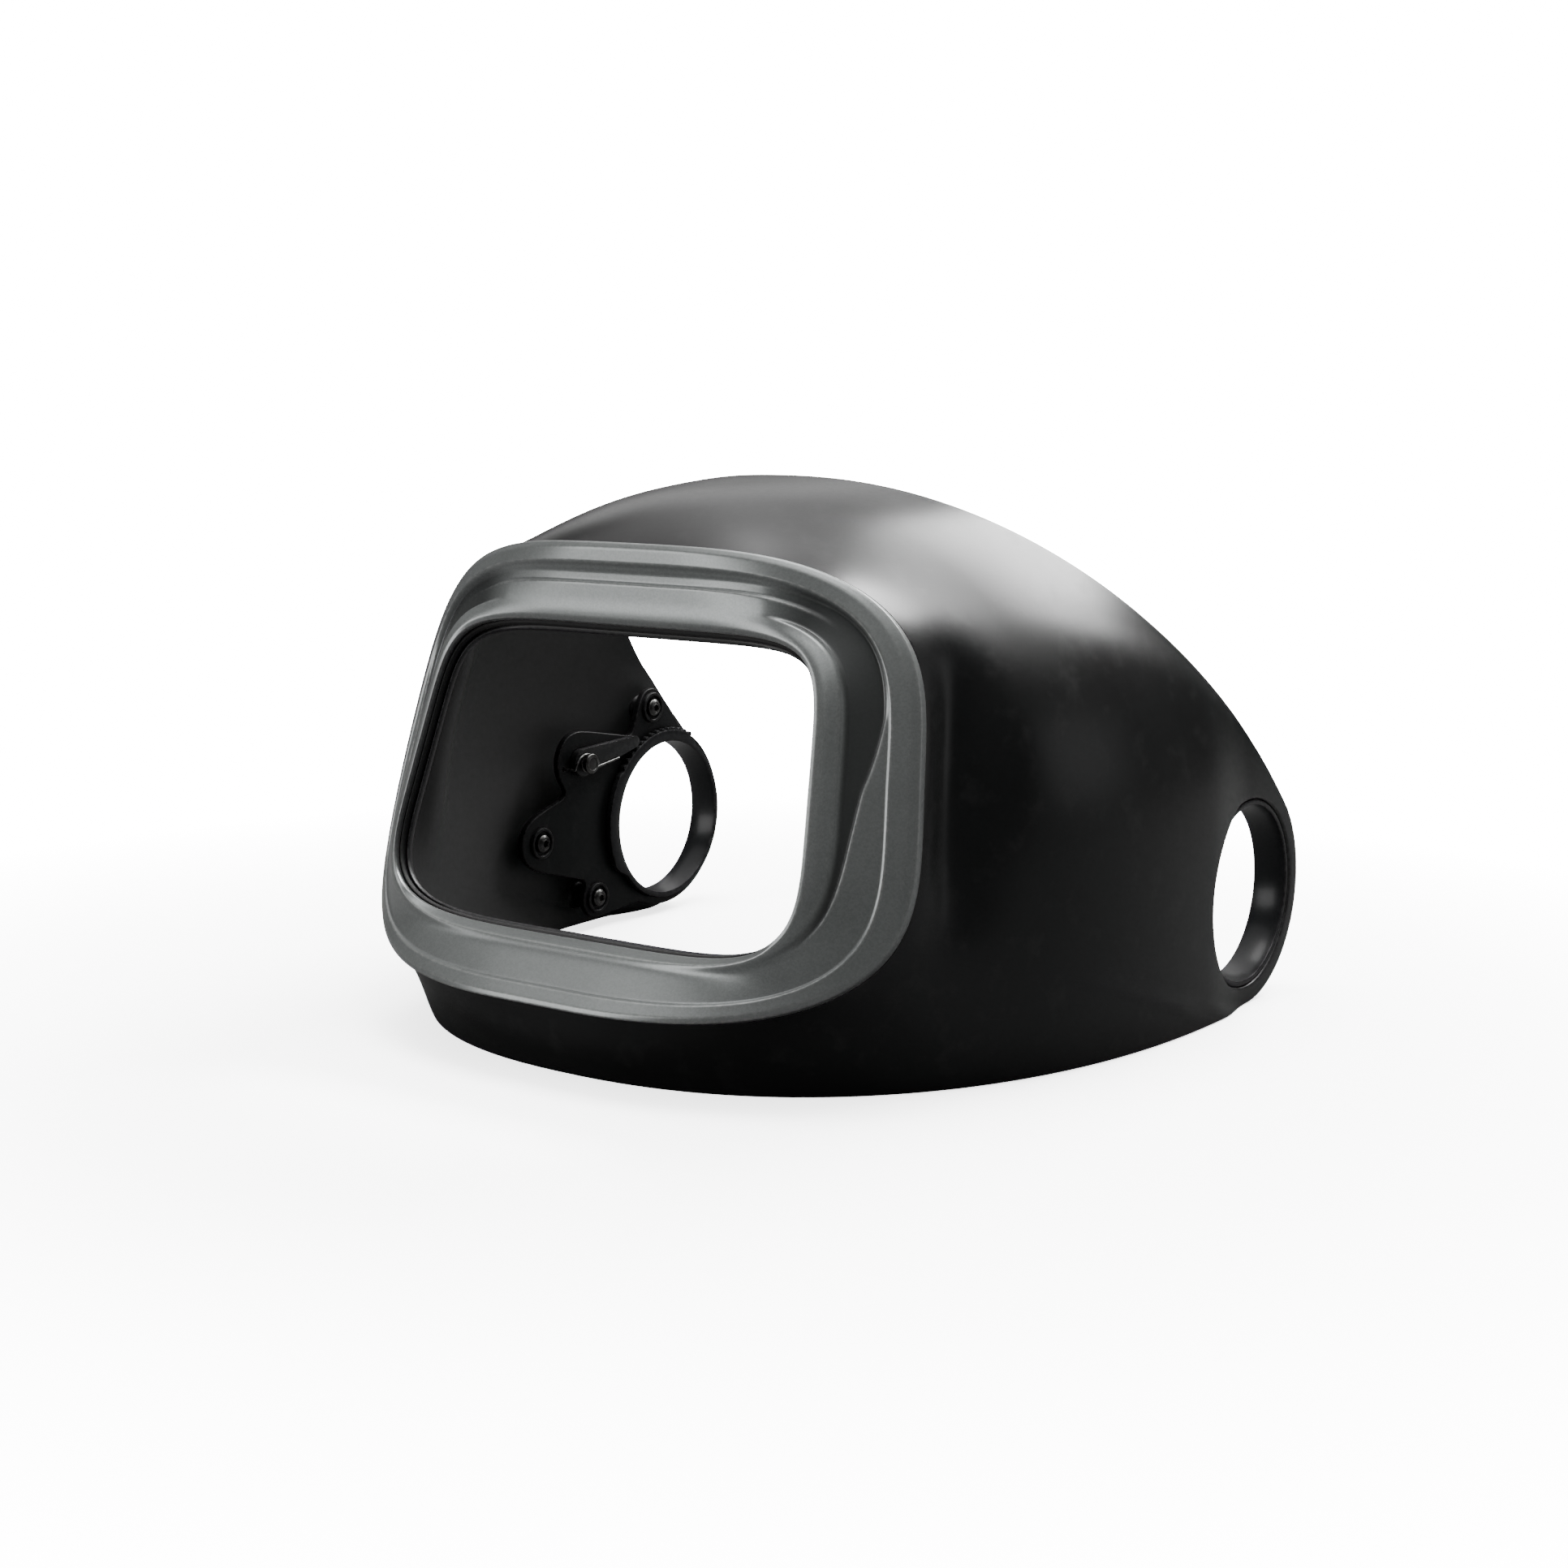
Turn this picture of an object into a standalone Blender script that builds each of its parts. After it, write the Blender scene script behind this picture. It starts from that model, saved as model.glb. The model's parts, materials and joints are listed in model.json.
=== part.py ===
"""Outer shield of a powered air respirator: a moulded shell with a front frame and two side pivots.

Units are metres, +Z is up. The front faces -Y and the wearer's left is +X. The shield stands on its
planar lower rim at Z = 0, and both pivot rings turn about one line parallel to X.
"""
import math

import bmesh
import bpy
import numpy as np
from mathutils import Matrix, Vector

# ---------------------------------------------------------------- driving dimensions (metres)
GAP = 0.0003              # clearance between touching pieces

# shell
PIVOT_Y = 0.07868         # pivot line, from the middle of the shield's length
HALF_WIDTH = 0.1200       # half width of the lower rim
REAR_INSET = 0.0022       # the arch at the rear edge is this much narrower, each side
NOSE_START = 0.0320       # the plan curve starts this far in front of the pivot line
NOSE_REACH = 0.1540       # length of the plan curve, to the front of the rim
PLAN_POWER = 2.20         # fullness of the plan curve
RIM_START = 0.0200        # the rim's own plan curve, which draws in under the front frame
RIM_REACH = 0.1580
RIM_POWER = 2.30
WALL_TOP = 0.0535         # the side walls are upright up to here
HEIGHT = 0.1590           # top of the arch
SIDE_POWER = 2.33         # fullness of the arch across the width
FRONT_POWER = 3.50        # fullness of the roof along the middle line
WALL = 0.0025             # wall thickness
EAR_RIM = 0.00555         # width of the round ear outside its bore; its foot touches the rim
EAR_INSET = 0.0028        # the ears' faces are this much narrower, each side
SCOOP_DEPTH = 0.0060      # hollow behind the frame's side edge

# front frame and window
WINDOW_Y = -0.1630        # middle of the window, in front of the pivot line
WINDOW_Z = 0.0789
WINDOW_HALF = 0.0695
WINDOW_RISE = 0.0415
WINDOW_TAPER = 0.116      # half width lost per metre of height
WINDOW_LEAN = 0.305       # the window plane leans back by this slope
FRAME_Y = -0.1732
FRAME_Z = 0.0868
FRAME_HALF = 0.0902
FRAME_UP = 0.0560
FRAME_DOWN = 0.0648
FRAME_TAPER = 0.125
FRAME_WRAP = 0.0145       # how far the side edges wrap back
FRAME_WALL = 0.0026
FRAME_RIDGE = 0.0010      # raised bead round the outer edge
LIP_WALL = 0.0025
LIP_START = 0.50          # inner edge of the shell's lip, as a share of the frame's width
BEZEL_END = 0.74          # outer edge of the bezel, as a share of the frame's width
BEZEL_WALL = 0.0022
BEZEL_REVEAL = 0.09       # inner edge of the bezel inside the window, as a share of the width
GASKET_REVEAL = 0.05
GASKET_END = 0.24

# pivot ring and its retaining clip
BORE_RADIUS = 0.02675
RING_WALL = 0.0016
RING_RUN = 0.0003         # running clearance in the shell
RING_SET = 0.0004         # the ring's end lies this far inside the ear's face
TOOTH_HEIGHT = 0.0012
TOOTH_FROM = math.radians(38.0)        # angles run up from forward
TOOTH_TO = math.radians(126.0)
FLANGE_FROM = math.radians(-40.0)
FLANGE_LEAST = 0.0003     # flange where it is not needed
FLANGE_WALL = 0.0022
FLANGE_RIM = 0.0034       # flange beyond the ring's outside
CLIP_WALL = 0.0012
CLIP_REACH = 0.0026       # clip beyond the ring's outside
CLIP_SLOT = 0.0008        # depth of the ring's groove
CLIP_OPEN = math.radians(24.0)

# detent plate, pawl, pin, spring and screws; places are forward of and above the pivot line
PLATE_WALL = 0.0022
PLATE_LAND = 0.00280      # width of the plate's round part outside its bore
PLATE_WEB = 0.0270        # half width of each lobe's web at the pivot
LOBE_PLACES = {           # name: (degrees up from forward, distance beyond the flange, radius)
    "arm": (0.0, 0.0330, 0.0095),
    "pawl": (28.8, 0.0200, 0.0105),
    "top": (81.5, 0.0080, 0.0068),
    "low": (-32.4, 0.0115, 0.0070),
}
SCREWED = ("arm", "top", "low")
PAWL_WALL = 0.0024
PAWL_EYE = 0.0046
PAWL_NOSE = 0.0020
PAWL_ANGLE = math.radians(58.0)       # where the nose meets the toothed flange
PIN_RADIUS = 0.0018
PIN_HEAD = 0.0034
PIN_HEAD_WALL = 0.0010
COIL_RADIUS = 0.0028
COIL_PITCH = 2.6          # rise of one turn, in wire radii
WIRE_RADIUS = 0.0004
SCREW_RADIUS = 0.0015
SCREW_HEAD = 0.0030
SCREW_HEAD_WALL = 0.0018
BOSS_WALL = 0.0020        # shell boss around a screw
BEZEL_SCREW_RADIUS = 0.0011
BEZEL_SCREW_HEAD = 0.0021
BEZEL_SCREW_ANGLES = (48.0, 132.0, -132.0, -48.0)

# mesh density
AROUND = 68               # stations round the frame
ALONG = 13                # stations from the frame to the outer edge

# ---------------------------------------------------------------- sizes that follow from these
RING_OUTER = BORE_RADIUS + RING_WALL
SHELL_BORE = RING_OUTER + RING_RUN
TAB_RADIUS = SHELL_BORE + EAR_RIM
PIVOT_Z = TAB_RADIUS
REAR_HALF = HALF_WIDTH - REAR_INSET
TAB_HALF = HALF_WIDTH - EAR_INSET
FLANGE_RADIUS = RING_OUTER + FLANGE_RIM
PLATE_RIM = SHELL_BORE + PLATE_LAND
LOBES = {name: ((FLANGE_RADIUS + beyond) * math.cos(math.radians(turn)),
                (FLANGE_RADIUS + beyond) * math.sin(math.radians(turn)), radius)
         for name, (turn, beyond, radius) in LOBE_PLACES.items()}

# ---------------------------------------------------------------- small helpers


def spow(value, power):
    """Signed power, for super-ellipses."""
    return np.sign(value) * np.abs(value) ** power


def material(name, colour, roughness, metallic=0.0):
    """Principled material with one colour, roughness and metallic value."""
    mat = bpy.data.materials.new(name)
    mat.use_nodes = True
    shader = mat.node_tree.nodes["Principled BSDF"]
    shader.inputs["Base Color"].default_value = (*colour, 1.0)
    shader.inputs["Roughness"].default_value = roughness
    shader.inputs["Metallic"].default_value = metallic
    return mat


def add_object(name, bm, mat, parent=None, smooth=40.0):
    """Turn a bmesh into a named object; the mesh is in world space and keeps its place."""
    bmesh.ops.recalc_face_normals(bm, faces=bm.faces)
    mesh = bpy.data.meshes.new(name)
    bm.to_mesh(mesh)
    bm.free()
    mesh.shade_smooth()
    mesh.set_sharp_from_angle(angle=math.radians(smooth))
    obj = bpy.data.objects.new(name, mesh)
    obj.data.materials.append(mat)
    bpy.context.collection.objects.link(obj)
    if parent is not None:
        mesh.transform(Matrix.Translation(-parent.location))
        obj.parent = parent
    return obj


def add_pivot(name, place):
    """Empty on a joint's axis."""
    empty = bpy.data.objects.new(name, None)
    empty.location = place
    bpy.context.collection.objects.link(empty)
    return empty


def grid_solid(rings):
    """Closed ring-shaped solid from an array rings[section point, station, xyz]."""
    rows, cols = rings.shape[:2]
    bm = bmesh.new()
    verts = [[bm.verts.new(rings[i, j]) for j in range(cols)] for i in range(rows)]
    for i in range(rows):
        for j in range(cols):
            k, m = (i + 1) % rows, (j + 1) % cols
            bm.faces.new((verts[i][j], verts[i][m], verts[k][m], verts[k][j]))
    return bm


def triangulated(bm):
    bmesh.ops.triangulate(bm, faces=bm.faces, quad_method="SHORT_EDGE")
    return bm


def plate_solid(bm, outline, holes, x0, x1):
    """Flat plate with holes: loops of (y, z) points filled at x0 and extruded to x1."""
    edges = []
    for loop in [outline, *holes]:
        verts = [bm.verts.new((x0, y, z)) for y, z in loop]
        edges += [bm.edges.new((verts[i], verts[(i + 1) % len(verts)])) for i in range(len(verts))]
    filled = bmesh.ops.triangle_fill(bm, use_beauty=True, edges=edges, normal=(1.0, 0.0, 0.0))
    faces = [g for g in filled["geom"] if isinstance(g, bmesh.types.BMFace)]
    extruded = bmesh.ops.extrude_face_region(bm, geom=faces, use_keep_orig=True)
    moved = [g for g in extruded["geom"] if isinstance(g, bmesh.types.BMVert)]
    bmesh.ops.translate(bm, vec=(x1 - x0, 0.0, 0.0), verts=moved)
    return bm


def turned(bm, profile, centre, axis, count):
    """Solid of revolution; the profile is a closed loop of (radius, height) along the axis."""
    turn = Vector((0.0, 0.0, 1.0)).rotation_difference(Vector(axis)).to_matrix()
    rows = []
    for radius, height in profile:
        if radius < 1e-7:
            rows.append([bm.verts.new(turn @ Vector((0.0, 0.0, height)) + Vector(centre))])
            continue
        rows.append([bm.verts.new(turn @ Vector((radius * math.cos(a), radius * math.sin(a), height))
                                  + Vector(centre)) for a in np.arange(count) * (2 * math.pi / count)])
    closed = all(len(row) > 1 for row in rows)
    for i in range(len(rows) if closed else len(rows) - 1):
        one, two = rows[i], rows[(i + 1) % len(rows)]
        for j in range(count):
            k = (j + 1) % count
            corners = [one[j % len(one)], one[k % len(one)], two[k % len(two)], two[j % len(two)]]
            corners = list(dict.fromkeys(corners))
            if len(corners) > 2:
                bm.faces.new(corners)
    return bm


def cut(obj, bm, name, operation="DIFFERENCE"):
    """Boolean of the object with a guide mesh, kept as a modifier."""
    guide = add_object(name, bm, obj.data.materials[0])
    guide.hide_render = True
    guide.display_type = "WIRE"
    boolean = obj.modifiers.new(name, "BOOLEAN")
    boolean.operation = operation
    boolean.solver = "EXACT"
    boolean.object = guide


# ---------------------------------------------------------------- curves of the shield
# The angle runs round the frame: 0 is the wearer's left edge, 90 degrees the top, -90 the bottom.


def window_curve(angle):
    """Edge of the window, a tapered super-ellipse in a plane that leans back."""
    c, s = np.cos(angle), np.sin(angle)
    power = np.where(s > 0.0, 6.5, 4.7)
    z = WINDOW_Z + WINDOW_RISE * spow(s, 2.0 / power)
    x = (WINDOW_HALF - WINDOW_TAPER * (z - WINDOW_Z)) * spow(c, 2.0 / power)
    y = PIVOT_Y + WINDOW_Y + WINDOW_LEAN * (z - WINDOW_Z)
    return np.stack([x, y, z], -1)


def frame_curve(angle):
    """Outer edge of the front frame, which wraps back at both sides."""
    c, s = np.cos(angle), np.sin(angle)
    power = np.where(s > 0.0, 3.4, 4.1)
    z = FRAME_Z + np.where(s > 0.0, FRAME_UP, FRAME_DOWN) * spow(s, 2.0 / power)
    x = (FRAME_HALF - FRAME_TAPER * (z - FRAME_Z)) * spow(c, 2.0 / power)
    h = z - FRAME_Z
    share = np.abs(x) / (0.72 * FRAME_HALF)
    y = PIVOT_Y + FRAME_Y + 0.36 * h + 0.9 * h * h + FRAME_WRAP * (0.83 * share ** 2 + 0.17 * share ** 4)
    return np.stack([x, y, z], -1)


INWARD = np.array([0.0, 1.0, -WINDOW_LEAN]) / math.hypot(1.0, WINDOW_LEAN)


def frame_point(angle, share, depth):
    """Point between the window edge (share 0) and the outer edge (share 1), at a depth behind."""
    return ((1.0 - share) * window_curve(angle) + share * frame_curve(angle)
            + np.asarray(depth)[..., None] * INWARD)


def edge_path():
    """Free edge of the shell on the left side, from the front of the rim to the top of the arch."""
    turn = np.linspace(0.0, 0.5 * math.pi, 80)
    rim = np.stack([HALF_WIDTH * spow(np.sin(turn), 2.0 / RIM_POWER),
                    -RIM_START - RIM_REACH * spow(np.cos(turn), 2.0 / RIM_POWER), 0.0 * turn], -1)
    run = np.linspace(0.0, 1.0, 12)[1:]
    ease = run * run * (3.0 - 2.0 * run)
    side = np.stack([HALF_WIDTH + (TAB_HALF - HALF_WIDTH) * ease, -RIM_START * (1.0 - run), 0.0 * run], -1)
    turn = np.radians(np.linspace(-90.0, 45.0, 40))[1:]
    ear = np.stack([TAB_HALF + 0.0 * turn, TAB_RADIUS * np.cos(turn), PIVOT_Z + TAB_RADIUS * np.sin(turn)], -1)
    low = ear[-1, 2]
    turn = np.linspace(0.0, 0.5 * math.pi, 90)[1:]
    rise = np.sin(turn) ** (2.0 / SIDE_POWER)
    z = np.maximum(WALL_TOP + (HEIGHT - WALL_TOP) * rise, low)
    x = REAR_HALF * np.cos(turn) ** (2.0 / SIDE_POWER)
    x += (TAB_HALF - REAR_HALF) * np.clip(1.0 - (z - low) / 0.03, 0.0, 1.0)
    arch = np.stack([x, ear[-1, 1] + low - z, z], -1)
    path = np.concatenate([rim, side, ear, arch[z > low + 1e-6]])
    path[:, 1] += PIVOT_Y
    length = np.concatenate([[0.0], np.cumsum(np.linalg.norm(np.diff(path, axis=0), axis=1))])
    ear_start = length[len(rim) + len(side) - 1]
    ear_end = length[len(rim) + len(side) + len(ear) - 1]
    return path, length, ear_start, ear_end


EDGE = edge_path()
EAR_LOW, EAR_HIGH = -18.0, 22.0       # the ear lies between these angles round the frame


def edge_curve(angle):
    """Free outer edge of the shell: lower rim, round ear, straight rear edge and arch."""
    path, length, ear_start, ear_end = EDGE
    c, s = np.cos(angle), np.sin(angle)
    turn = np.degrees(np.arctan2(s, np.abs(c)))
    rim = ear_start * np.clip((turn + 90.0) / (EAR_LOW + 90.0), 0.0, 1.0) ** 2.2
    ear = ear_start + (ear_end - ear_start) * np.clip((turn - EAR_LOW) / (EAR_HIGH - EAR_LOW), 0.0, 1.0)
    arch = ear_end + (length[-1] - ear_end) * np.clip((turn - EAR_HIGH) / (90.0 - EAR_HIGH), 0.0, 1.0)
    at = np.where(turn < EAR_LOW, rim, np.where(turn < EAR_HIGH, ear, arch))
    point = np.stack([np.interp(at, length, path[:, k]) for k in range(3)], -1)
    point[..., 0] *= np.where(c < 0.0, -1.0, 1.0)
    return point


CORE = np.array([0.0, PIVOT_Y - 0.062, 0.040])        # inside the head space


def dome_level(p):
    """Below 1 inside the moulded dome, above 1 outside."""
    x, y, z = np.abs(p[..., 0]), p[..., 1] - PIVOT_Y, p[..., 2]
    rear = np.clip((y + NOSE_START) / NOSE_START, 0.0, 1.0)
    half = HALF_WIDTH + (TAB_HALF - HALF_WIDTH) * rear * rear * (3.0 - 2.0 * rear)
    across = (x / half) ** PLAN_POWER
    ahead = (np.maximum(-NOSE_START - y, 0.0) / NOSE_REACH) ** PLAN_POWER
    share = ahead / (across + ahead + 1e-9)
    power = SIDE_POWER + (FRONT_POWER - SIDE_POWER) * share ** 2
    plan = (across + ahead) ** (1.0 / PLAN_POWER)
    rise = np.maximum(z - WALL_TOP, 0.0) / (HEIGHT - WALL_TOP)
    return plan ** power + rise ** power


def on_dome(guide):
    """Push guide points along rays from the core out to the dome."""
    ray = guide - CORE
    low, high = np.full(ray.shape[:-1], 0.3), np.full(ray.shape[:-1], 3.0)
    for _ in range(40):
        mid = 0.5 * (low + high)
        inside = dome_level(CORE + ray * mid[..., None]) < 1.0
        low, high = np.where(inside, mid, low), np.where(inside, high, mid)
    return CORE + ray * low[..., None]


def skin(angle, along):
    """Outer skin of the shell, from the frame (along 0) to the free edge (along 1)."""
    start = frame_point(angle, 1.0, np.full(np.shape(angle), FRAME_WALL + GAP))
    end = edge_curve(angle)
    chord = np.linalg.norm(end - start, axis=-1)
    guide = start + (end - start) * along[..., None]
    point, first = on_dome(guide), on_dome(start)
    last = on_dome(end)
    reach = np.clip(0.042 / chord, 0.10, 0.85)
    fade = np.clip(1.0 - along / reach, 0.0, 1.0) ** 2
    point = point + (start - first) * fade[..., None] + (end - last) * (along ** 3)[..., None]
    c, s = np.cos(angle), np.sin(angle)
    swell = np.exp(-((s - 0.02) / 0.34) ** 2) * np.exp(-((along * chord - 0.020) / 0.012) ** 2)
    point[..., 0] -= np.sign(c) * SCOOP_DEPTH * swell * np.abs(c)
    return point


def skin_inside(angle, along, wall):
    """Skin moved inward by the wall, square to its surface."""
    step = 1e-3
    high, low = np.minimum(along + step, 1.0), np.maximum(along - step, 0.0)
    da = skin(angle + step, along) - skin(angle - step, along)
    dt = skin(angle, high) - skin(angle, low)
    normal = np.cross(da, dt)
    normal /= np.linalg.norm(normal, axis=-1)[..., None]
    return skin(angle, along) + normal * wall


def stations(count):
    return (np.arange(count) + 0.5) * (2.0 * math.pi / count)


# ---------------------------------------------------------------- places that pieces share


def wall_x(forward, up):
    """Half width of the shell's inner face beside a point, given forward of and above the pivot."""
    low, high = 0.5 * HALF_WIDTH, 1.2 * HALF_WIDTH
    for _ in range(40):
        mid = 0.5 * (low + high)
        point = np.array([mid, PIVOT_Y - forward, PIVOT_Z + up])
        low, high = (mid, high) if dome_level(point) < 1.0 else (low, mid)
    return low - WALL


def plate_radius(angle):
    """Outline of the detent plate as a radius about the pivot; the angle runs up from forward."""
    ray = np.array([math.cos(angle), math.sin(angle)])
    best = PLATE_RIM
    for forward, up, radius in LOBES.values():
        centre = np.array([forward, up])
        reach = np.linalg.norm(centre)
        for k in np.linspace(0.0, 1.0, 40):
            middle, size = centre * k, radius + (PLATE_WEB - radius) * (1.0 - k)
            along = ray @ middle
            off = middle @ middle - along * along
            if along > -1e-9 and off < size * size and k * reach > 0.004:
                best = max(best, along + math.sqrt(size * size - off))
    return best


PLATE_OUTLINE = [(r * math.cos(a), r * math.sin(a)) for a, r in
                 ((a, plate_radius(a)) for a in np.arange(80) * (2.0 * math.pi / 80))]
PLATE_FACE = (min(wall_x(f, u) for f, u in PLATE_OUTLINE) - CLIP_WALL - 3.0 * GAP)
PLATE_BACK = PLATE_FACE - PLATE_WALL
RING_END = TAB_HALF - RING_SET
RING_BACK = PLATE_BACK - GAP - FLANGE_WALL
PAWL_FACE = PLATE_BACK - GAP
PAWL_BACK = PAWL_FACE - PAWL_WALL
NOSE_PLACE = (FLANGE_RADIUS + GAP + PAWL_NOSE) * np.array([math.cos(PAWL_ANGLE), math.sin(PAWL_ANGLE)])
BOSS_RADIUS = SCREW_RADIUS + GAP + BOSS_WALL


def bezel_screw_seat(degrees):
    """Place on the bezel's back face, the way in from there, and its lean to the window's."""
    share = 0.5 * (LIP_START + BEZEL_END)
    angle = np.array([math.radians(degrees)])
    depth = np.array([FRAME_WALL + GAP + LIP_WALL + GAP + BEZEL_WALL])
    place = frame_point(angle, share, depth)[0]
    da = frame_point(angle + 0.01, share, depth)[0] - frame_point(angle - 0.01, share, depth)[0]
    ds = frame_point(angle, share + 0.01, depth)[0] - frame_point(angle, share - 0.01, depth)[0]
    normal = np.cross(da, ds)
    normal /= np.linalg.norm(normal)
    lean = float(normal @ INWARD)
    return place, normal * math.copysign(1.0, lean), abs(lean)


# ---------------------------------------------------------------- pieces


def side_loop(loop):
    """Loop of (forward, up) points as (y, z) points of one side."""
    return [(PIVOT_Y - forward, PIVOT_Z + up) for forward, up in loop]


def round_hole(forward, up, radius, count=16):
    return side_loop([(forward + radius * math.cos(a), up + radius * math.sin(a))
                      for a in np.arange(count) * (2.0 * math.pi / count)])


def rod(bm, start, end, radius, count=16):
    """Closed cylinder between two points."""
    start, end = Vector(start), Vector(end)
    turned(bm, [(0.0, 0.0), (radius, 0.0), (radius, (end - start).length), (0.0, (end - start).length)],
           start, (end - start).normalized(), count)
    return bm


def shell_rings():
    """Section of the shell at each station: lip, outer skin, rim, inner skin, back of the lip."""
    angle = stations(AROUND)
    back = FRAME_WALL + GAP
    full = np.full(AROUND, 1.0)
    rows = [frame_point(angle, LIP_START, full * back)]
    along = np.linspace(0.0, 1.0, ALONG) ** 1.35
    rows += [skin(angle, full * t) for t in along]
    edge = skin_inside(angle, full, WALL)
    edge[:, 2] = np.where(rows[-1][:, 2] < 1e-5, 0.0, edge[:, 2])
    rows.append(edge)
    rows += [skin_inside(angle, full * t, WALL) for t in along[-2:0:-1] if t > 0.04]
    rows += [frame_point(angle, share, full * (back + LIP_WALL)) for share in (0.88, BEZEL_END, LIP_START)]
    return np.array(rows)


def build_shell(mat):
    """Moulded shell with screw bosses, then every hole through it."""
    shell = add_object("shell", triangulated(grid_solid(shell_rings())), mat)
    bosses, holes = bmesh.new(), bmesh.new()
    for side in (-1.0, 1.0):
        for name in SCREWED:
            forward, up, _ = LOBES[name]
            y, z, wall = PIVOT_Y - forward, PIVOT_Z + up, wall_x(forward, up)
            rod(bosses, (side * (PLATE_FACE + GAP), y, z), (side * (wall + 0.4 * WALL), y, z), BOSS_RADIUS)
            rod(holes, (side * (PLATE_FACE - 0.002), y, z), (side * wall, y, z), SCREW_RADIUS + GAP)
        rod(holes, (side * 0.6 * HALF_WIDTH, PIVOT_Y, PIVOT_Z), (side * 1.2 * HALF_WIDTH, PIVOT_Y, PIVOT_Z),
            SHELL_BORE, 48)
    for degrees in BEZEL_SCREW_ANGLES:
        place, inward, lean = bezel_screw_seat(degrees)
        depth = (BEZEL_WALL + LIP_WALL) * lean + 2.0 * GAP
        rod(holes, place + 0.001 * inward, place - depth * inward, BEZEL_SCREW_RADIUS + GAP, 12)
    cut(shell, bosses, "shell_bosses", "UNION")
    cut(shell, holes, "shell_holes")
    return shell


def ring_piece(name, mat, profile, stations_count=AROUND):
    """Ring-shaped piece that follows the window, from a section of (share, depth) points."""
    angle = stations(stations_count)
    full = np.full(stations_count, 1.0)
    rows = [frame_point(angle, share, full * depth) for share, depth in profile]
    return add_object(name, triangulated(grid_solid(np.array(rows))), mat)


def build_window(silver, black, rubber, steel, parent):
    """Front frame, gasket, inner bezel and the bezel's four screws."""
    frame = ring_piece("front_frame", silver, [
        (0.0, 0.0), (0.12, -0.0008), (0.30, -0.0002), (0.60, 0.0002), (0.84, -FRAME_RIDGE),
        (0.95, -FRAME_RIDGE), (1.0, 0.0), (1.0, FRAME_WALL), (LIP_START, FRAME_WALL),
        (GASKET_END, FRAME_WALL), (0.0, FRAME_WALL)])
    frame.data.transform(Matrix.Translation(-parent.location))
    frame.parent = parent
    lip_back = FRAME_WALL + GAP + LIP_WALL
    ring_piece("window_gasket", rubber, [
        (-GASKET_REVEAL, FRAME_WALL + GAP), (0.0, FRAME_WALL + GAP), (GASKET_END, FRAME_WALL + GAP),
        (GASKET_END, lip_back), (-GASKET_REVEAL, lip_back)])
    bezel = ring_piece("window_bezel", black, [
        (-BEZEL_REVEAL, lip_back + GAP), (-GASKET_REVEAL, lip_back + GAP), (GASKET_END, lip_back + GAP),
        (LIP_START, lip_back + GAP), (BEZEL_END, lip_back + GAP),
        (BEZEL_END, lip_back + GAP + BEZEL_WALL), (-BEZEL_REVEAL, lip_back + GAP + BEZEL_WALL)])
    holes = bmesh.new()
    for index, degrees in enumerate(BEZEL_SCREW_ANGLES, 1):
        place, inward, lean = bezel_screw_seat(degrees)
        rod(holes, place + 0.002 * inward, place - 1.6 * BEZEL_WALL * inward, BEZEL_SCREW_RADIUS + GAP, 12)
        reach = (BEZEL_WALL + LIP_WALL) * lean + GAP
        screw = turned(bmesh.new(), screw_profile(BEZEL_SCREW_RADIUS, BEZEL_SCREW_HEAD, 0.0014, reach),
                       place + GAP * inward, inward, 12)
        add_object(f"bezel_screw_{index}", screw, steel)
    cut(bezel, holes, "bezel_holes")


def screw_profile(radius, head, head_wall, reach):
    """Half section of a screw; its head's seat is at 0 and its shank runs to -reach."""
    socket = 0.45 * head
    return [(0.0, -reach), (radius, -reach), (radius, 0.0), (head, 0.0), (head, 0.7 * head_wall),
            (0.8 * head, head_wall), (socket, head_wall), (socket, 0.4 * head_wall), (0.0, 0.4 * head_wall)]


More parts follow.
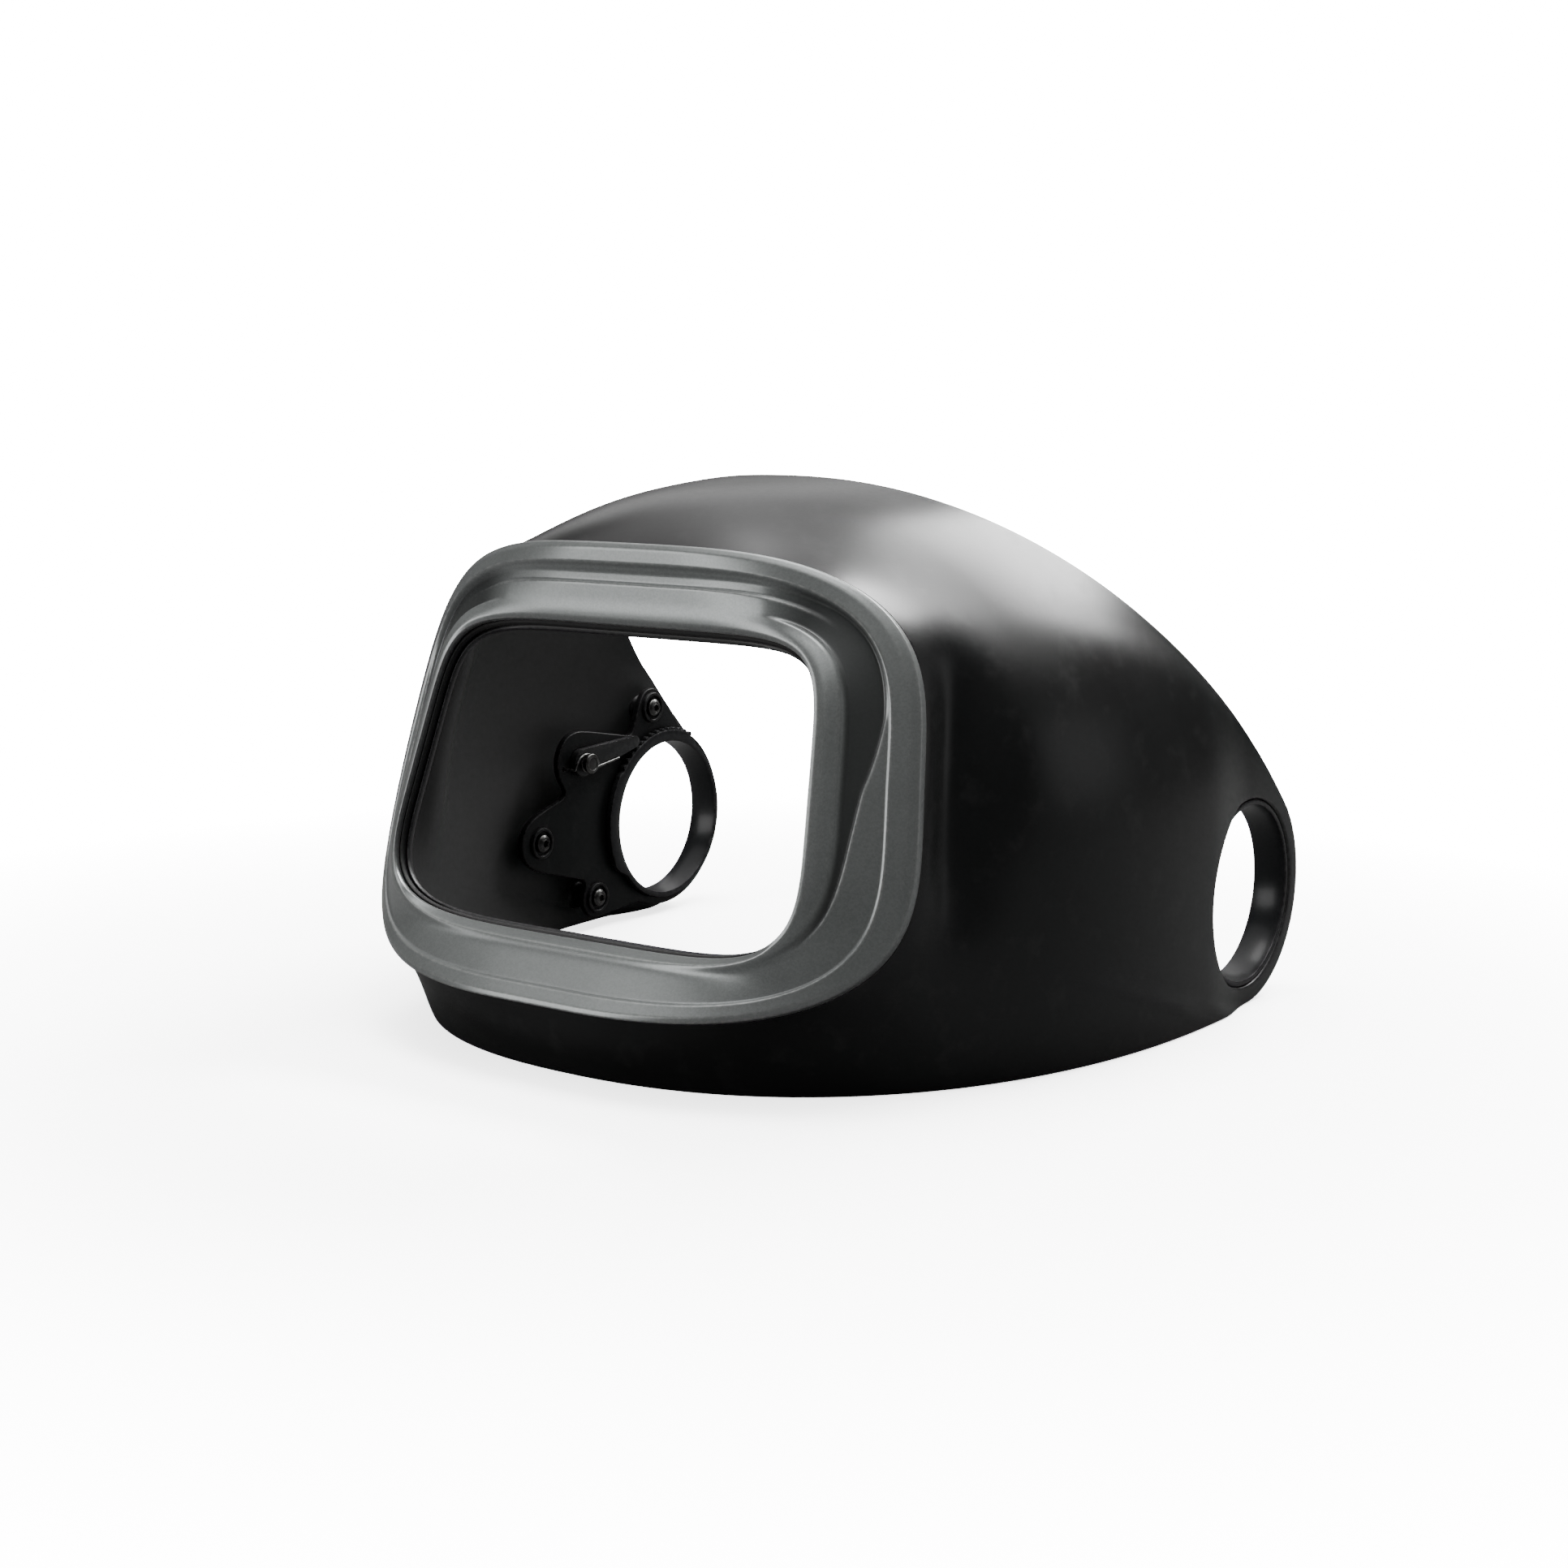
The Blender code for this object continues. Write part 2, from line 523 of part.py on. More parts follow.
def build_ring(side, tag, mat, clip_mat, parent):
    """Pivot ring with a toothed inner flange, and the open clip in its groove."""
    slot_low, slot_high = PLATE_FACE, PLATE_FACE + CLIP_WALL + 2.0 * GAP
    slot = RING_OUTER - CLIP_SLOT
    section = [(BORE_RADIUS, RING_END - 0.0004), (BORE_RADIUS, RING_BACK), (FLANGE_RADIUS, RING_BACK),
               (FLANGE_RADIUS, RING_BACK + FLANGE_WALL), (RING_OUTER, RING_BACK + FLANGE_WALL),
               (RING_OUTER, slot_low), (slot, slot_low), (slot, slot_high), (RING_OUTER, slot_high),
               (RING_OUTER, RING_END), (BORE_RADIUS + 0.0004, RING_END)]
    count = 48
    turn = np.arange(count) * (2.0 * math.pi / count)
    teeth = (turn > TOOTH_FROM) & (turn < TOOTH_TO) & (np.arange(count) % 2 == 1)
    inside = np.minimum((turn - FLANGE_FROM) % (2.0 * math.pi), (TOOTH_TO - turn) % (2.0 * math.pi))
    inside = np.where((turn - FLANGE_FROM) % (2.0 * math.pi) < TOOTH_TO - FLANGE_FROM, inside, 0.0)
    flange = FLANGE_LEAST + (FLANGE_RIM - FLANGE_LEAST) * np.clip(inside / 0.25, 0.0, 1.0)
    rows = []
    for radius, x in section:
        size = radius + 0.0 * turn
        if radius == FLANGE_RADIUS:
            size = RING_OUTER + flange - TOOTH_HEIGHT * teeth
        rows.append(np.stack([side * x + 0.0 * turn, PIVOT_Y - size * np.cos(turn),
                              PIVOT_Z + size * np.sin(turn)], -1))
    add_object(f"pivot_ring_{tag}", triangulated(grid_solid(np.array(rows))), mat, parent, 35.0)
    inner, outer = slot + GAP, RING_OUTER + CLIP_REACH
    sweep = np.linspace(-0.5 * math.pi + 0.5 * CLIP_OPEN, 1.5 * math.pi - 0.5 * CLIP_OPEN, 36)
    loop = [(outer * math.cos(a), outer * math.sin(a)) for a in sweep]
    loop += [(inner * math.cos(a), inner * math.sin(a)) for a in sweep[::-1]]
    clip = plate_solid(bmesh.new(), side_loop(loop), [], side * (PLATE_FACE + GAP),
                       side * (PLATE_FACE + GAP + CLIP_WALL))
    add_object(f"ring_clip_{tag}", clip, clip_mat, parent)


def build_plate(side, tag, mat):
    """Detent plate round the ring, screwed to the shell's bosses."""
    holes = [round_hole(0.0, 0.0, SHELL_BORE, 48)]
    holes += [round_hole(*LOBES[name][:2], SCREW_RADIUS + GAP) for name in SCREWED]
    holes.append(round_hole(*LOBES["pawl"][:2], PIN_RADIUS + GAP))
    holes.append(round_hole(*spring_anchor(), WIRE_RADIUS + GAP, 10))
    plate = plate_solid(bmesh.new(), side_loop(PLATE_OUTLINE), holes, side * PLATE_FACE,
                        side * PLATE_BACK)
    add_object(f"detent_plate_{tag}", plate, mat)


def spring_anchor():
    forward, up, radius = LOBES["pawl"]
    return forward + 0.70 * radius, up - 0.15 * radius


def build_pawl(side, tag, mat, steel, parent):
    """Tapered pawl whose nose rests by the flange's teeth, with its pin and its torsion spring."""
    eye = np.array(LOBES["pawl"][:2])
    way = NOSE_PLACE - eye
    heading = math.atan2(way[1], way[0])
    lean = math.acos((PAWL_EYE - PAWL_NOSE) / np.linalg.norm(way))
    back = [heading + lean + a for a in np.linspace(0.0, 2.0 * (math.pi - lean), 14)]
    front = [heading - lean + a for a in np.linspace(0.0, 2.0 * lean, 8)]
    loop = [(eye[0] + PAWL_EYE * math.cos(a), eye[1] + PAWL_EYE * math.sin(a)) for a in back]
    loop += [(NOSE_PLACE[0] + PAWL_NOSE * math.cos(a), NOSE_PLACE[1] + PAWL_NOSE * math.sin(a)) for a in front]
    hole = round_hole(eye[0], eye[1], PIN_RADIUS + GAP)
    pawl = plate_solid(bmesh.new(), side_loop(loop), [hole], side * PAWL_FACE, side * PAWL_BACK)
    add_object(f"detent_pawl_{tag}", pawl, mat, parent)
    y, z = PIVOT_Y - eye[0], PIVOT_Z + eye[1]
    coil_room = (COIL_PITCH * 1.5 + 2.0) * WIRE_RADIUS + 2.0 * GAP
    long = PAWL_WALL + PLATE_WALL + GAP + coil_room
    profile = [(0.0, -long), (PIN_RADIUS, -long), (PIN_RADIUS, 0.0), (PIN_HEAD, 0.0),
               (PIN_HEAD, 0.6 * PIN_HEAD_WALL), (0.7 * PIN_HEAD, PIN_HEAD_WALL), (0.0, PIN_HEAD_WALL)]
    pin = turned(bmesh.new(), profile, (side * (PAWL_BACK - coil_room), y, z), (-side, 0.0, 0.0), 20)
    add_object(f"pawl_pin_{tag}", pin, steel)
    build_spring(side, tag, steel, eye, heading)


def build_spring(side, tag, mat, eye, heading):
    """Wire from a hole in the plate, once round the pin and out along the pawl."""
    low = PAWL_BACK - GAP - WIRE_RADIUS
    high = low - 1.5 * COIL_PITCH * WIRE_RADIUS
    anchor = np.array(spring_anchor())
    start = math.atan2(*(anchor - eye)[::-1])
    points = [(PLATE_FACE - 0.4 * PLATE_WALL, *anchor), (PLATE_BACK - GAP, *anchor)]
    points += [(PLATE_BACK + (high - PLATE_BACK) * k, *anchor) for k in (0.4, 0.75)]
    tail = heading + 0.5 * math.pi
    sweep = (tail - start) % (2.0 * math.pi) + 2.0 * math.pi
    spread = np.linalg.norm(anchor - eye) - COIL_RADIUS
    for k in np.linspace(0.0, 1.0, 34):
        a = start + sweep * k
        size = COIL_RADIUS + spread * max(1.0 - 5.0 * k, 0.0) ** 2
        points.append((high + (low - high) * k, eye[0] + size * math.cos(a), eye[1] + size * math.sin(a)))
    reach = 0.62 * np.linalg.norm(NOSE_PLACE - eye)
    end = points[-1]
    points += [(low, end[1] + k * reach * math.cos(heading), end[2] + k * reach * math.sin(heading))
               for k in np.linspace(0.1, 1.0, 5)]
    curve = bpy.data.curves.new(f"pawl_spring_{tag}", "CURVE")
    curve.dimensions = "3D"
    spline = curve.splines.new("POLY")
    spline.points.add(len(points) - 1)
    for item, (x, forward, up) in zip(spline.points, points):
        item.co = (side * x, PIVOT_Y - forward, PIVOT_Z + up, 1.0)
    curve.bevel_depth = WIRE_RADIUS
    curve.bevel_resolution = 1
    curve.use_fill_caps = True
    curve.materials.append(mat)
    spring = bpy.data.objects.new(f"pawl_spring_{tag}", curve)
    bpy.context.collection.objects.link(spring)


def build_side(side, tag, mats):
    """Pivot ring, clip, detent plate, pawl, pin, spring and screws of one side."""
    hinge = add_pivot(f"pivot_axis_{tag}", Vector((side * TAB_HALF, PIVOT_Y, PIVOT_Z)))
    forward, up, _ = LOBES["pawl"]
    pawl_axis = add_pivot(f"pawl_axis_{tag}", Vector((side * PAWL_FACE, PIVOT_Y - forward, PIVOT_Z + up)))
    build_ring(side, tag, mats["ring"], mats["steel"], hinge)
    build_plate(side, tag, mats["plate"])
    build_pawl(side, tag, mats["pawl"], mats["steel"], pawl_axis)
    for name in SCREWED:
        forward, up, _ = LOBES[name]
        reach = PLATE_WALL + 2.0 * GAP + max(wall_x(forward, up) - PLATE_FACE - 4.0 * GAP, 0.0)
        screw = turned(bmesh.new(), screw_profile(SCREW_RADIUS, SCREW_HEAD, SCREW_HEAD_WALL, reach),
                       (side * (PLATE_BACK - GAP), PIVOT_Y - forward, PIVOT_Z + up), (-side, 0.0, 0.0), 16)
        add_object(f"plate_screw_{name}_{tag}", screw, mats["steel"])


def main():
    for old in list(bpy.data.objects):
        bpy.data.objects.remove(old, do_unlink=True)
    mats = {
        "shell": material("black_shell", (0.012, 0.012, 0.013), 0.35),
        "frame": material("silver_frame", (0.25, 0.26, 0.26), 0.38, 0.3),
        "bezel": material("black_bezel", (0.008, 0.008, 0.009), 0.45),
        "gasket": material("black_rubber", (0.006, 0.006, 0.006), 0.8),
        "ring": material("black_ring", (0.010, 0.010, 0.011), 0.3),
        "plate": material("dark_plate", (0.015, 0.015, 0.016), 0.5),
        "pawl": material("grey_pawl", (0.05, 0.05, 0.052), 0.45),
        "steel": material("dark_steel", (0.18, 0.18, 0.18), 0.35, 1.0),
    }
    build_shell(mats["shell"])
    slide = add_pivot("frame_seat", Vector((0.0, PIVOT_Y + WINDOW_Y, WINDOW_Z)))
    build_window(mats["frame"], mats["bezel"], mats["gasket"], mats["steel"], slide)
    for side, tag in ((1.0, "left"), (-1.0, "right")):
        build_side(side, tag, mats)


main()
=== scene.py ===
"""Outer shield of a powered air respirator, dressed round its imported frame.

Units are metres and +Z is up. The front faces -Y and the wearer's left is +X.
"""
import json
import logging
import math
from dataclasses import dataclass, field
from enum import Enum
from typing import Callable, Iterable, Sequence

import bmesh
import bpy
import numpy as np
from mathutils import Matrix, Vector


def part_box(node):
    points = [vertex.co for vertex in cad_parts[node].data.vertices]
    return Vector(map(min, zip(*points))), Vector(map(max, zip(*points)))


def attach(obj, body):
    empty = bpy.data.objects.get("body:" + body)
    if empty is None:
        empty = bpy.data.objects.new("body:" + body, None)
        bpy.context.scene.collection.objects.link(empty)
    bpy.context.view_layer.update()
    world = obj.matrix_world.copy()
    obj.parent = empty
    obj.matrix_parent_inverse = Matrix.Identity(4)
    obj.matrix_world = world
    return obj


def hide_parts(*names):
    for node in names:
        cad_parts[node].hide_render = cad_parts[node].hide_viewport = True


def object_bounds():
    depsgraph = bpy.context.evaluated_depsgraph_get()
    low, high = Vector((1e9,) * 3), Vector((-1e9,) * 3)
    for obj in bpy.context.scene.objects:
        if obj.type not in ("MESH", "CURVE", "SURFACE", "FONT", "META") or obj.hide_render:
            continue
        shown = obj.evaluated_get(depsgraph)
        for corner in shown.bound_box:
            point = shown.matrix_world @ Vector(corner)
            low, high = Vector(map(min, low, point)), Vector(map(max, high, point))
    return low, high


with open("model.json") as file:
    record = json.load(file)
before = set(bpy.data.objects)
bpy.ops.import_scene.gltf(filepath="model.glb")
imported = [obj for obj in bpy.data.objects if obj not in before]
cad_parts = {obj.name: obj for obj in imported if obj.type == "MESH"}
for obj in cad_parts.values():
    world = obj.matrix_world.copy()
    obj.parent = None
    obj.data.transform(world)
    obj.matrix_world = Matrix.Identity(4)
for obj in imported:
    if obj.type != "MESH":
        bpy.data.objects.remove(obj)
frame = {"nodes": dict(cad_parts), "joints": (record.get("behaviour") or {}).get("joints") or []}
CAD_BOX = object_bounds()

log = logging.getLogger("shield")
Array = np.ndarray
TURN = 2.0 * math.pi
GAP = 0.0003
STREAKS = (0.0012, 3.0, (0.25, 0.25, 1.6))
FLAKE_SIZE = 0.00045


# ------------------------------------------------------------------ shader maths


class Signal:
    """A shader socket that Python arithmetic works on; each expression adds its Math node."""

    def __init__(self, paint: "Paint", socket: bpy.types.NodeSocket) -> None:
        """Keeps the socket and the paint that it belongs to."""
        self.paint, self.socket = paint, socket

    def __add__(self, other: "Signal | float") -> "Signal":
        """Sum."""
        return self.paint.math("ADD", self, other)

    def __sub__(self, other: "Signal | float") -> "Signal":
        """Difference."""
        return self.paint.math("SUBTRACT", self, other)

    def __rsub__(self, other: float) -> "Signal":
        """Difference from a number."""
        return self.paint.math("SUBTRACT", other, self)

    def __mul__(self, other: "Signal | float") -> "Signal":
        """Product."""
        return self.paint.math("MULTIPLY", self, other)

    __radd__, __rmul__ = __add__, __mul__


class Paint:
    """One material's node tree, built by short calls."""

    def __init__(self, name: str) -> None:
        """Makes the material and finds its Principled shader.

        Args:
            name: the material's name.
        """
        self.material = bpy.data.materials.new(name)
        self.material.use_nodes = True
        self.tree = self.material.node_tree
        self.shader = self.tree.nodes["Principled BSDF"]

    def node(self, kind: str, settings: dict | None = None, inputs: dict | None = None,
             output: int | str = 0) -> Signal:
        """Adds a node.

        Args:
            kind: the node's type.
            settings: its properties, set first; "stops" fills a colour ramp.
            inputs: values or signals by socket name or number.
            output: the output socket to return.
        Returns:
            The output as a signal.
        """
        item = self.tree.nodes.new(kind)
        for key, value in (settings or {}).items():
            if key == "stops":
                for _ in value[2:]:
                    item.color_ramp.elements.new(0.5)
                for stop, (place, level) in zip(item.color_ramp.elements, value):
                    stop.position, stop.color = place, (level, level, level, 1.0)
            else:
                setattr(item, key, value)
        for key, value in (inputs or {}).items():
            if isinstance(value, Signal):
                self.tree.links.new(value.socket, item.inputs[key])
            else:
                item.inputs[key].default_value = value
        return Signal(self, item.outputs[output])

    def math(self, operation: str, one: "Signal | float", two: "Signal | float") -> Signal:
        """Math node of two values; returns its result."""
        return self.node("ShaderNodeMath", {"operation": operation}, {0: one, 1: two})

    def clamp(self, value: Signal) -> Signal:
        """Value held between 0 and 1."""
        return self.node("ShaderNodeMath", {"operation": "ADD", "use_clamp": True}, {0: value, 1: 0.0})

    def noise(self, size: float, detail: float = 2.0, stretch: Sequence[float] = (1.0, 1.0, 1.0)) -> Signal:
        """Noise in object space.

        Args:
            size: width of one blot, in metres.
            detail: octaves.
            stretch: scale on each axis.
        Returns:
            The noise, from 0 to 1.
        """
        place = self.node("ShaderNodeTexCoord", output="Object")
        if tuple(stretch) != (1.0, 1.0, 1.0):
            place = self.node("ShaderNodeMapping", None, {"Vector": place, "Scale": tuple(stretch)})
        return self.node("ShaderNodeTexNoise", None,
                         {"Vector": place, "Scale": 1.0 / size, "Detail": detail, "Roughness": 0.55})

    def ramp(self, value: Signal, *stops: tuple[float, float]) -> Signal:
        """Grey ramp of a value through (place, level) stops."""
        return self.node("ShaderNodeValToRGB", {"stops": stops}, {"Fac": value})

    def mix(self, share: "Signal | float", one: object, two: object, blend: str = "MIX") -> Signal:
        """Mix of two colours.

        Args:
            share: how much of the second.
            one: first colour, a signal or three numbers.
            two: second colour.
            blend: the blend type.
        Returns:
            The mixed colour.
        """
        full = [c if isinstance(c, Signal) else (*c, 1.0) for c in (one, two)]
        return self.node("ShaderNodeMix", {"data_type": "RGBA", "blend_type": blend},
                         {0: share, 6: full[0], 7: full[1]}, 2)

    def feed(self, **values: object) -> None:
        """Sets or links the shader's sockets; an underscore in a name stands for a space."""
        for key, value in values.items():
            socket = self.shader.inputs[key.replace("_", " ")]
            if isinstance(value, Signal):
                self.tree.links.new(value.socket, socket)
            else:
                socket.default_value = value


# ------------------------------------------------------------------ finishes


class Texture(Enum):
    """The surface that a mould or a tool leaves."""

    SPARKED = "fine spark-eroded grain"
    LACQUERED = "metallic lacquer with flakes"
    POLISHED = "smooth mould"
    RUBBERY = "soft matt skin"
    PLATED = "zinc plate with turning marks"


@dataclass(frozen=True)
class Finish:
    """One material of the shield: its colour, gloss, grain and wear."""

    name: str
    slot: str
    colour: tuple[float, float, float]
    roughness: float
    texture: Texture
    metallic: float = 0.0
    grain: float = 0.0005
    depth: float = 0.00001
    mottle: float = 0.18
    wear: float = 0.35
    worn: tuple[float, float, float] = (0.09, 0.09, 0.092)
    coat: float = 0.0
    gloss: float = 0.5
    # Lighter colour for faces marked inner: painted light on the shell's inside, the same black plastic shown
    # brighter.
    inner: tuple[float, float, float] = (0.0300, 0.0300, 0.0305)

    def build(self) -> bpy.types.Material:
        """Makes the node tree; the lacquer is painted darker in the frame's side channels as painted shade, and
        the sparked finish paints the shell's inside faces lighter as painted light.

        Returns:
            The material.
        """
        paint = Paint(self.name)
        cloud = paint.noise(0.034, 3.0)
        scuff = paint.noise(0.0017, 4.0)
        edge = paint.node("ShaderNodeAttribute", {"attribute_name": "edge_wear"}, None, "Fac")
        # Painted shade mask: the frame's side channels, where the lacquer is painted darker.
        hollow = paint.node("ShaderNodeAttribute", {"attribute_name": "hollow"}, None, "Fac")
        worn = paint.clamp(edge * paint.ramp(scuff, (0.42, 0.15), (0.62, 1.0))) * self.wear
        low = tuple(c * (1.0 - self.mottle) for c in self.colour)
        high = tuple(c * (1.0 + self.mottle) for c in self.colour)
        colour = paint.mix(paint.ramp(cloud, (0.35, 0.0), (0.65, 1.0)), low, high)
        rough = (cloud - 0.5) * 0.10 + (scuff - 0.5) * 0.07 + self.roughness
        height = paint.noise(self.grain, 2.0) * 0.7 + paint.noise(self.grain * 4.5, 2.0) * 0.6
        if self.texture is Texture.LACQUERED:
            place = paint.node("ShaderNodeTexCoord", output="Object")
            flakes = paint.node("ShaderNodeTexVoronoi", None, {"Vector": place, "Scale": 1.0 / FLAKE_SIZE},
                                "Color")
            spark = paint.node("ShaderNodeSeparateColor", None, {"Color": flakes})
            colour = paint.mix(spark * 0.22, colour, tuple(min(1.0, c * 1.7) for c in self.colour))
            # Painted shade: the lacquer drops to a fifth of its colour in the side channels, standing in for
            # the shade and dark reflections there.
            colour = paint.mix(hollow * 0.88, colour, tuple(c * 0.20 for c in self.colour))
            rough = (cloud - 0.5) * 0.05 + (scuff - 0.5) * 0.03 + self.roughness
        elif self.texture is Texture.PLATED:
            height = height + paint.noise(0.0003, 2.0, (1.0, 1.0, 6.0)) * 0.8
            rough = rough + (paint.noise(*STREAKS) - 0.5) * 0.12
        elif self.texture is Texture.RUBBERY:
            rough = rough + (paint.noise(*STREAKS) - 0.5) * 0.05
        elif self.texture is Texture.SPARKED:
            dust = paint.ramp(paint.noise(0.009, 4.0), (0.55, 0.0), (0.80, 1.0))
            colour = paint.mix(dust * 0.10, colour, (0.10, 0.10, 0.098))
            # Painted light: faces that look in at the head space get the lighter inner colour, standing in for
            # the light that falls inside the shell; they are also rougher.
            inner = paint.node("ShaderNodeAttribute", {"attribute_name": "inner"}, None, "Fac")
            colour = paint.mix(inner, colour, self.inner)
            rough = rough + dust * 0.05 + inner * 0.22
        colour = paint.mix(worn, colour, self.worn)
        rough = rough + worn * 0.12
        bump = paint.node("ShaderNodeBump", None, {"Strength": 0.8, "Distance": self.depth, "Height": height},
                          "Normal")
        paint.feed(Base_Color=colour, Roughness=paint.clamp(rough), Metallic=self.metallic, Normal=bump)
        paint.shader.inputs["Specular IOR Level"].default_value = self.gloss
        if self.coat:
            paint.feed(Coat_Weight=self.coat, Coat_Roughness=0.12)
        paint.material.diffuse_color = (*self.colour, 1.0)
        return paint.material


class Finishes(Enum):
    """Every finish on the shield."""

    SHELL = Finish("satin_black_shell", "black_shell", (0.0065, 0.0065, 0.0068), 0.31, Texture.SPARKED,
                   grain=0.0006, depth=0.000012, gloss=0.32)
    FRAME = Finish("silver_grey_lacquer", "silver_frame", (0.190, 0.200, 0.198), 0.32, Texture.LACQUERED,
                   metallic=0.50, grain=0.0011, depth=0.000006, mottle=0.05, wear=0.30, worn=(0.50, 0.50, 0.49))
    BEZEL = Finish("matt_black_bezel", "black_bezel", (0.008, 0.008, 0.009), 0.46, Texture.SPARKED)
    SEAL = Finish("black_seal_rubber", "black_rubber", (0.006, 0.006, 0.006), 0.72, Texture.RUBBERY,
                  grain=0.0008, wear=0.1)
    RING = Finish("gloss_black_ring", "black_ring", (0.008, 0.008, 0.009), 0.30, Texture.POLISHED,
                  grain=0.0030, depth=0.000006, wear=0.4, coat=0.05, gloss=0.2)
    PLATE = Finish("dark_detent_plate", "dark_plate", (0.0045, 0.0045, 0.0048), 0.42, Texture.SPARKED,
                   gloss=0.15)
    PAWL = Finish("grey_acetal_pawl", "grey_pawl", (0.012, 0.012, 0.0125), 0.36, Texture.POLISHED,
                  worn=(0.10, 0.10, 0.10), gloss=0.25)
    STEEL = Finish("dark_plated_steel", "dark_steel", (0.060, 0.060, 0.058), 0.32, Texture.PLATED,
                   metallic=1.0, mottle=0.25, worn=(0.45, 0.45, 0.44))


MATERIALS: dict[str, bpy.types.Material] = {}


def coat_of(finish: Finishes) -> bpy.types.Material:
    """The finish's material, made once."""
    if finish.name not in MATERIALS:
        MATERIALS[finish.name] = finish.value.build()
    return MATERIALS[finish.name]


# ------------------------------------------------------------------ mesh helpers


def spow(value: Array, power: Array | float) -> Array:
    """Signed power, for super-ellipses."""
    return np.sign(value) * np.abs(value) ** power


def ease(value: Array | float, low: float, high: float) -> Array:
    """Smooth step of a value from 0 at low to 1 at high."""
    t = np.clip((np.asarray(value, float) - low) / (high - low), 0.0, 1.0)
    return t * t * (3.0 - 2.0 * t)


def grid(rings: Array) -> bmesh.types.BMesh:
    """Closed ring-shaped solid from rings[section point, station, xyz].

    Args:
        rings: the places, by section point, station and axis.
    Returns:
        The mesh.
    """
    rows, cols = rings.shape[:2]
    bm = bmesh.new()
    verts = [[bm.verts.new(p) for p in row] for row in rings]
    for i in range(rows):
        k = (i + 1) % rows
        for j in range(cols):
            m = (j + 1) % cols
            bm.faces.new((verts[i][j], verts[i][m], verts[k][m], verts[k][j]))
    return bm


def lathe(bm: bmesh.types.BMesh, profile: Sequence[tuple[float, float]], centre: Sequence[float],
          axis: Sequence[float], count: int = 48) -> bmesh.types.BMesh:
    """Adds a solid of revolution.

    Args:
        bm: the mesh to add to.
        profile: closed loop of (radius, height); radius 0 closes at the axis.
        centre: where height 0 is.
        axis: direction of the axis.
        count: faces round.
    Returns:
        The mesh.
    """
    turn = Vector((0.0, 0.0, 1.0)).rotation_difference(Vector(axis)).to_matrix()
    middle, rows = Vector(centre), []
    for radius, height in profile:
        if radius < 1e-7:
            rows.append([bm.verts.new(turn @ Vector((0.0, 0.0, height)) + middle)])
        else:
            ring = [Vector((radius * math.cos(a), radius * math.sin(a), height))
                    for a in np.arange(count) * (TURN / count)]
            rows.append([bm.verts.new(turn @ point + middle) for point in ring])
    closed = all(len(row) > 1 for row in rows)
    for i in range(len(rows) if closed else len(rows) - 1):
        one, two = rows[i], rows[(i + 1) % len(rows)]
        for j in range(count):
            k = (j + 1) % count
            corners = [one[j % len(one)], one[k % len(one)], two[k % len(two)], two[j % len(two)]]
            corners = list(dict.fromkeys(corners))
            if len(corners) > 2:
                bm.faces.new(corners)
    return bm


def rounded(points: Sequence[tuple[float, float]], radius: float, steps: int = 4) -> list[tuple[float, float]]:
    """Rounds the corners of a closed profile; corners on the axis stay.

    Args:
        points: the profile, as (radius, height).
        radius: how far each rounding reaches from its corner.
        steps: points in each rounding, less one.
    Returns:
        The rounded profile.
    """
    out, count = [], len(points)
    for i, here in enumerate(points):
        p = np.array(here)
        if here[0] < 1e-7:
            out.append(here)
            continue
        legs = []
        for other in (points[i - 1], points[(i + 1) % count]):
            leg = np.array(other) - p
            legs.append(leg / np.linalg.norm(leg) * min(radius, 0.45 * np.linalg.norm(leg)))
        for t in np.linspace(0.0, 1.0, steps + 1):
            out.append(tuple(p + legs[0] * (1.0 - t) ** 2 + legs[1] * t ** 2))
    return out


def slab(outline: Sequence[tuple[float, float]], holes: Iterable[Sequence[tuple[float, float]]],
         x0: float, x1: float) -> bmesh.types.BMesh:
    """Flat plate with holes, from loops of (y, z), between two places on X.

    Args:
        outline: loop of (y, z).
        holes: one loop for each hole.
        x0: where the plate starts.
        x1: where it ends.
    Returns:
        The mesh.
    """
    bm, edges = bmesh.new(), []
    for loop in [outline, *holes]:
        verts = [bm.verts.new((x0, y, z)) for y, z in loop]
        edges += [bm.edges.new((verts[i], verts[(i + 1) % len(verts)])) for i in range(len(verts))]
    filled = bmesh.ops.triangle_fill(bm, use_beauty=True, edges=edges, normal=(1.0, 0.0, 0.0))
    faces = [g for g in filled["geom"] if isinstance(g, bmesh.types.BMFace)]
    extruded = bmesh.ops.extrude_face_region(bm, geom=faces, use_keep_orig=True)
    moved = [g for g in extruded["geom"] if isinstance(g, bmesh.types.BMVert)]
    bmesh.ops.translate(bm, vec=(x1 - x0, 0.0, 0.0), verts=moved)
    return bm


def linked(name: str, data: object) -> bpy.types.Object:
    """New object of some data, linked to the scene.

    Args:
        name: its name.
        data: a mesh, a light or a camera.
    Returns:
        The object.
    """
    obj = bpy.data.objects.new(name, data)
    bpy.context.scene.collection.objects.link(obj)
    return obj


def as_mesh(name: str, bm: bmesh.types.BMesh) -> bpy.types.Mesh:
    """Plain mesh of a bmesh, which is freed.

    Args:
        name: the mesh's name.
        bm: the bmesh to turn.
    Returns:
        The mesh.
    """
    mesh = bpy.data.meshes.new(name)
    bm.to_mesh(mesh)
    bm.free()
    return mesh


def as_bmesh(mesh: bpy.types.Mesh) -> bmesh.types.BMesh:
    """Bmesh of a plain mesh."""
    bm = bmesh.new()
    bm.from_mesh(mesh)
    return bm


